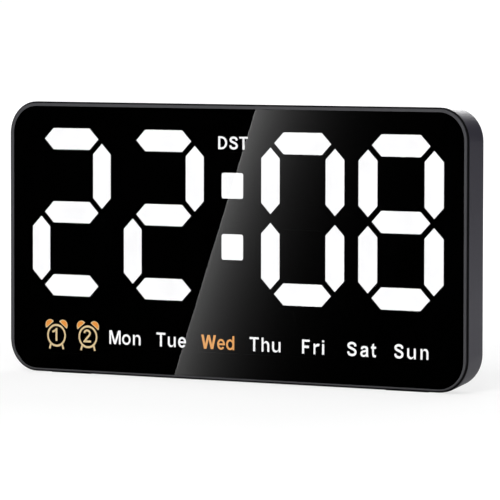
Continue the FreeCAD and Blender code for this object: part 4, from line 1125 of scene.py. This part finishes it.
def make_card():
    """A lit card in front, to the left, that only mirrors in polished faces."""
    edge_top, edge_low = Vector(EDGE_TOP), Vector(EDGE_LOW)
    along = (edge_top - edge_low).normalized()
    away = Vector((along.y, -along.x))
    start, stop = edge_low - along * EDGE_OVERRUN, edge_top + along * EDGE_OVERRUN
    corners = []
    for point in (start, start + away * CARD_REACH, stop + away * CARD_REACH, stop):
        spot = Vector(((point.x + EYE_SHIFT_X) * MM, GLASS_Y * MM, DIGITS_Z * MM + point.y * MM))
        ray = spot - CAMERA_PLACE
        ray.y = -ray.y
        corners.append(spot + ray * ((CARD_Y - spot.y) / ray.y))
    material, tree, output = bare_material("studio_card_fading")
    across = node(tree, "ShaderNodeSeparateXYZ", {0: node(tree, "ShaderNodeTexCoord").outputs["UV"]}).outputs
    fade = math_node(tree, "EXPONENT", math_node(tree, "MULTIPLY", across["X"], -CARD_REACH / CARD_FADE))
    level = ramp(tree, across["Y"], *CARD_SPAN, CARD_LOW, CARD_TOP)
    rim = math_node(tree, "LESS_THAN", across["X"], CARD_RIM / CARD_REACH)
    lift = math_node(tree, "MULTIPLY_ADD", rim, CARD_RIM_LIFT, 1.0)
    power = math_node(tree, "MULTIPLY", math_node(tree, "MULTIPLY", fade, level), lift)
    glow = node(tree, "ShaderNodeEmission", {"Strength": power})
    tree.links.new(glow.outputs[0], output.inputs["Surface"])
    card = stage_plane("studio_card", corners, material)
    layer = card.data.uv_layers.new(name="card_uv")
    for loop, place in zip(layer.data, ((0, 0), (1, 0), (1, 1), (0, 1))):
        loop.uv = place
    only_mirrored(card)


RIM_CARD_PLACE = (-0.82, 1.77, 0.8)
RIM_CARD_AIM = (0.12, 0.0, 0.12)
RIM_CARD_HALF = 0.52
RIM_CARD_FADE = 1.4 * RIM_CARD_HALF
RIM_CARD_POWER = 12.0


def make_rim_card():
    """A small lit card behind, to the left, that lights the case's upper corner at a glancing angle."""
    middle = Vector(RIM_CARD_PLACE)
    away = (middle - Vector(RIM_CARD_AIM)).normalized()
    side = away.cross(Vector((0, 0, 1))).normalized() * RIM_CARD_HALF
    rise = side.cross(away)
    corners = [middle - side - rise, middle + side - rise, middle + side + rise, middle - side + rise]
    material, tree, output = bare_material("rim_card_fading")
    from_middle = node(tree, "ShaderNodeVectorMath", {0: object_place(tree), 1: RIM_CARD_PLACE},
                       operation="DISTANCE")
    power = ramp(tree, from_middle.outputs["Value"], 0.0, RIM_CARD_FADE, RIM_CARD_POWER, 0.0)
    glow = node(tree, "ShaderNodeEmission", {"Strength": power})
    tree.links.new(glow.outputs[0], output.inputs["Surface"])
    only_mirrored(stage_plane("rim_card", corners, material))


LAMP_AIM = (0.0, 0.0, 0.06)
# Each lamp's place, width and height in metres, and its watts.
LAMPS = {
    "key_light": ((0.45, -1.5, 1.45), 1.2, 0.9, 26.0),
    "right_light": ((1.9, 0.2, 0.9), 0.9, 0.9, 0.2),
    "rear_light": ((-0.4, 1.8, 1.3), 1.2, 0.9, 7.0),
    "rear_fill": ((-0.4, 1.8, 1.3), 1.2, 0.9, 11.0),
    "left_light": ((-1.9, 0.3, 0.9), 0.9, 0.9, 12.0),
}


def make_floor():
    corners = [(x * FLOOR_HALF, y * FLOOR_HALF, 0.0) for x, y in ((-1, -1), (1, -1), (1, 1), (-1, 1))]
    stage_plane("studio_floor", corners, floor_material())


make_camera()
make_world()
make_floor()
make_card()
make_rim_card()
lamps = {name: soft_lamp(name, *settings) for name, settings in LAMPS.items()}
lamps["rear_fill"].visible_glossy = False

bpy.context.scene.view_settings.view_transform = "Standard"

bpy.context.view_layer.update()
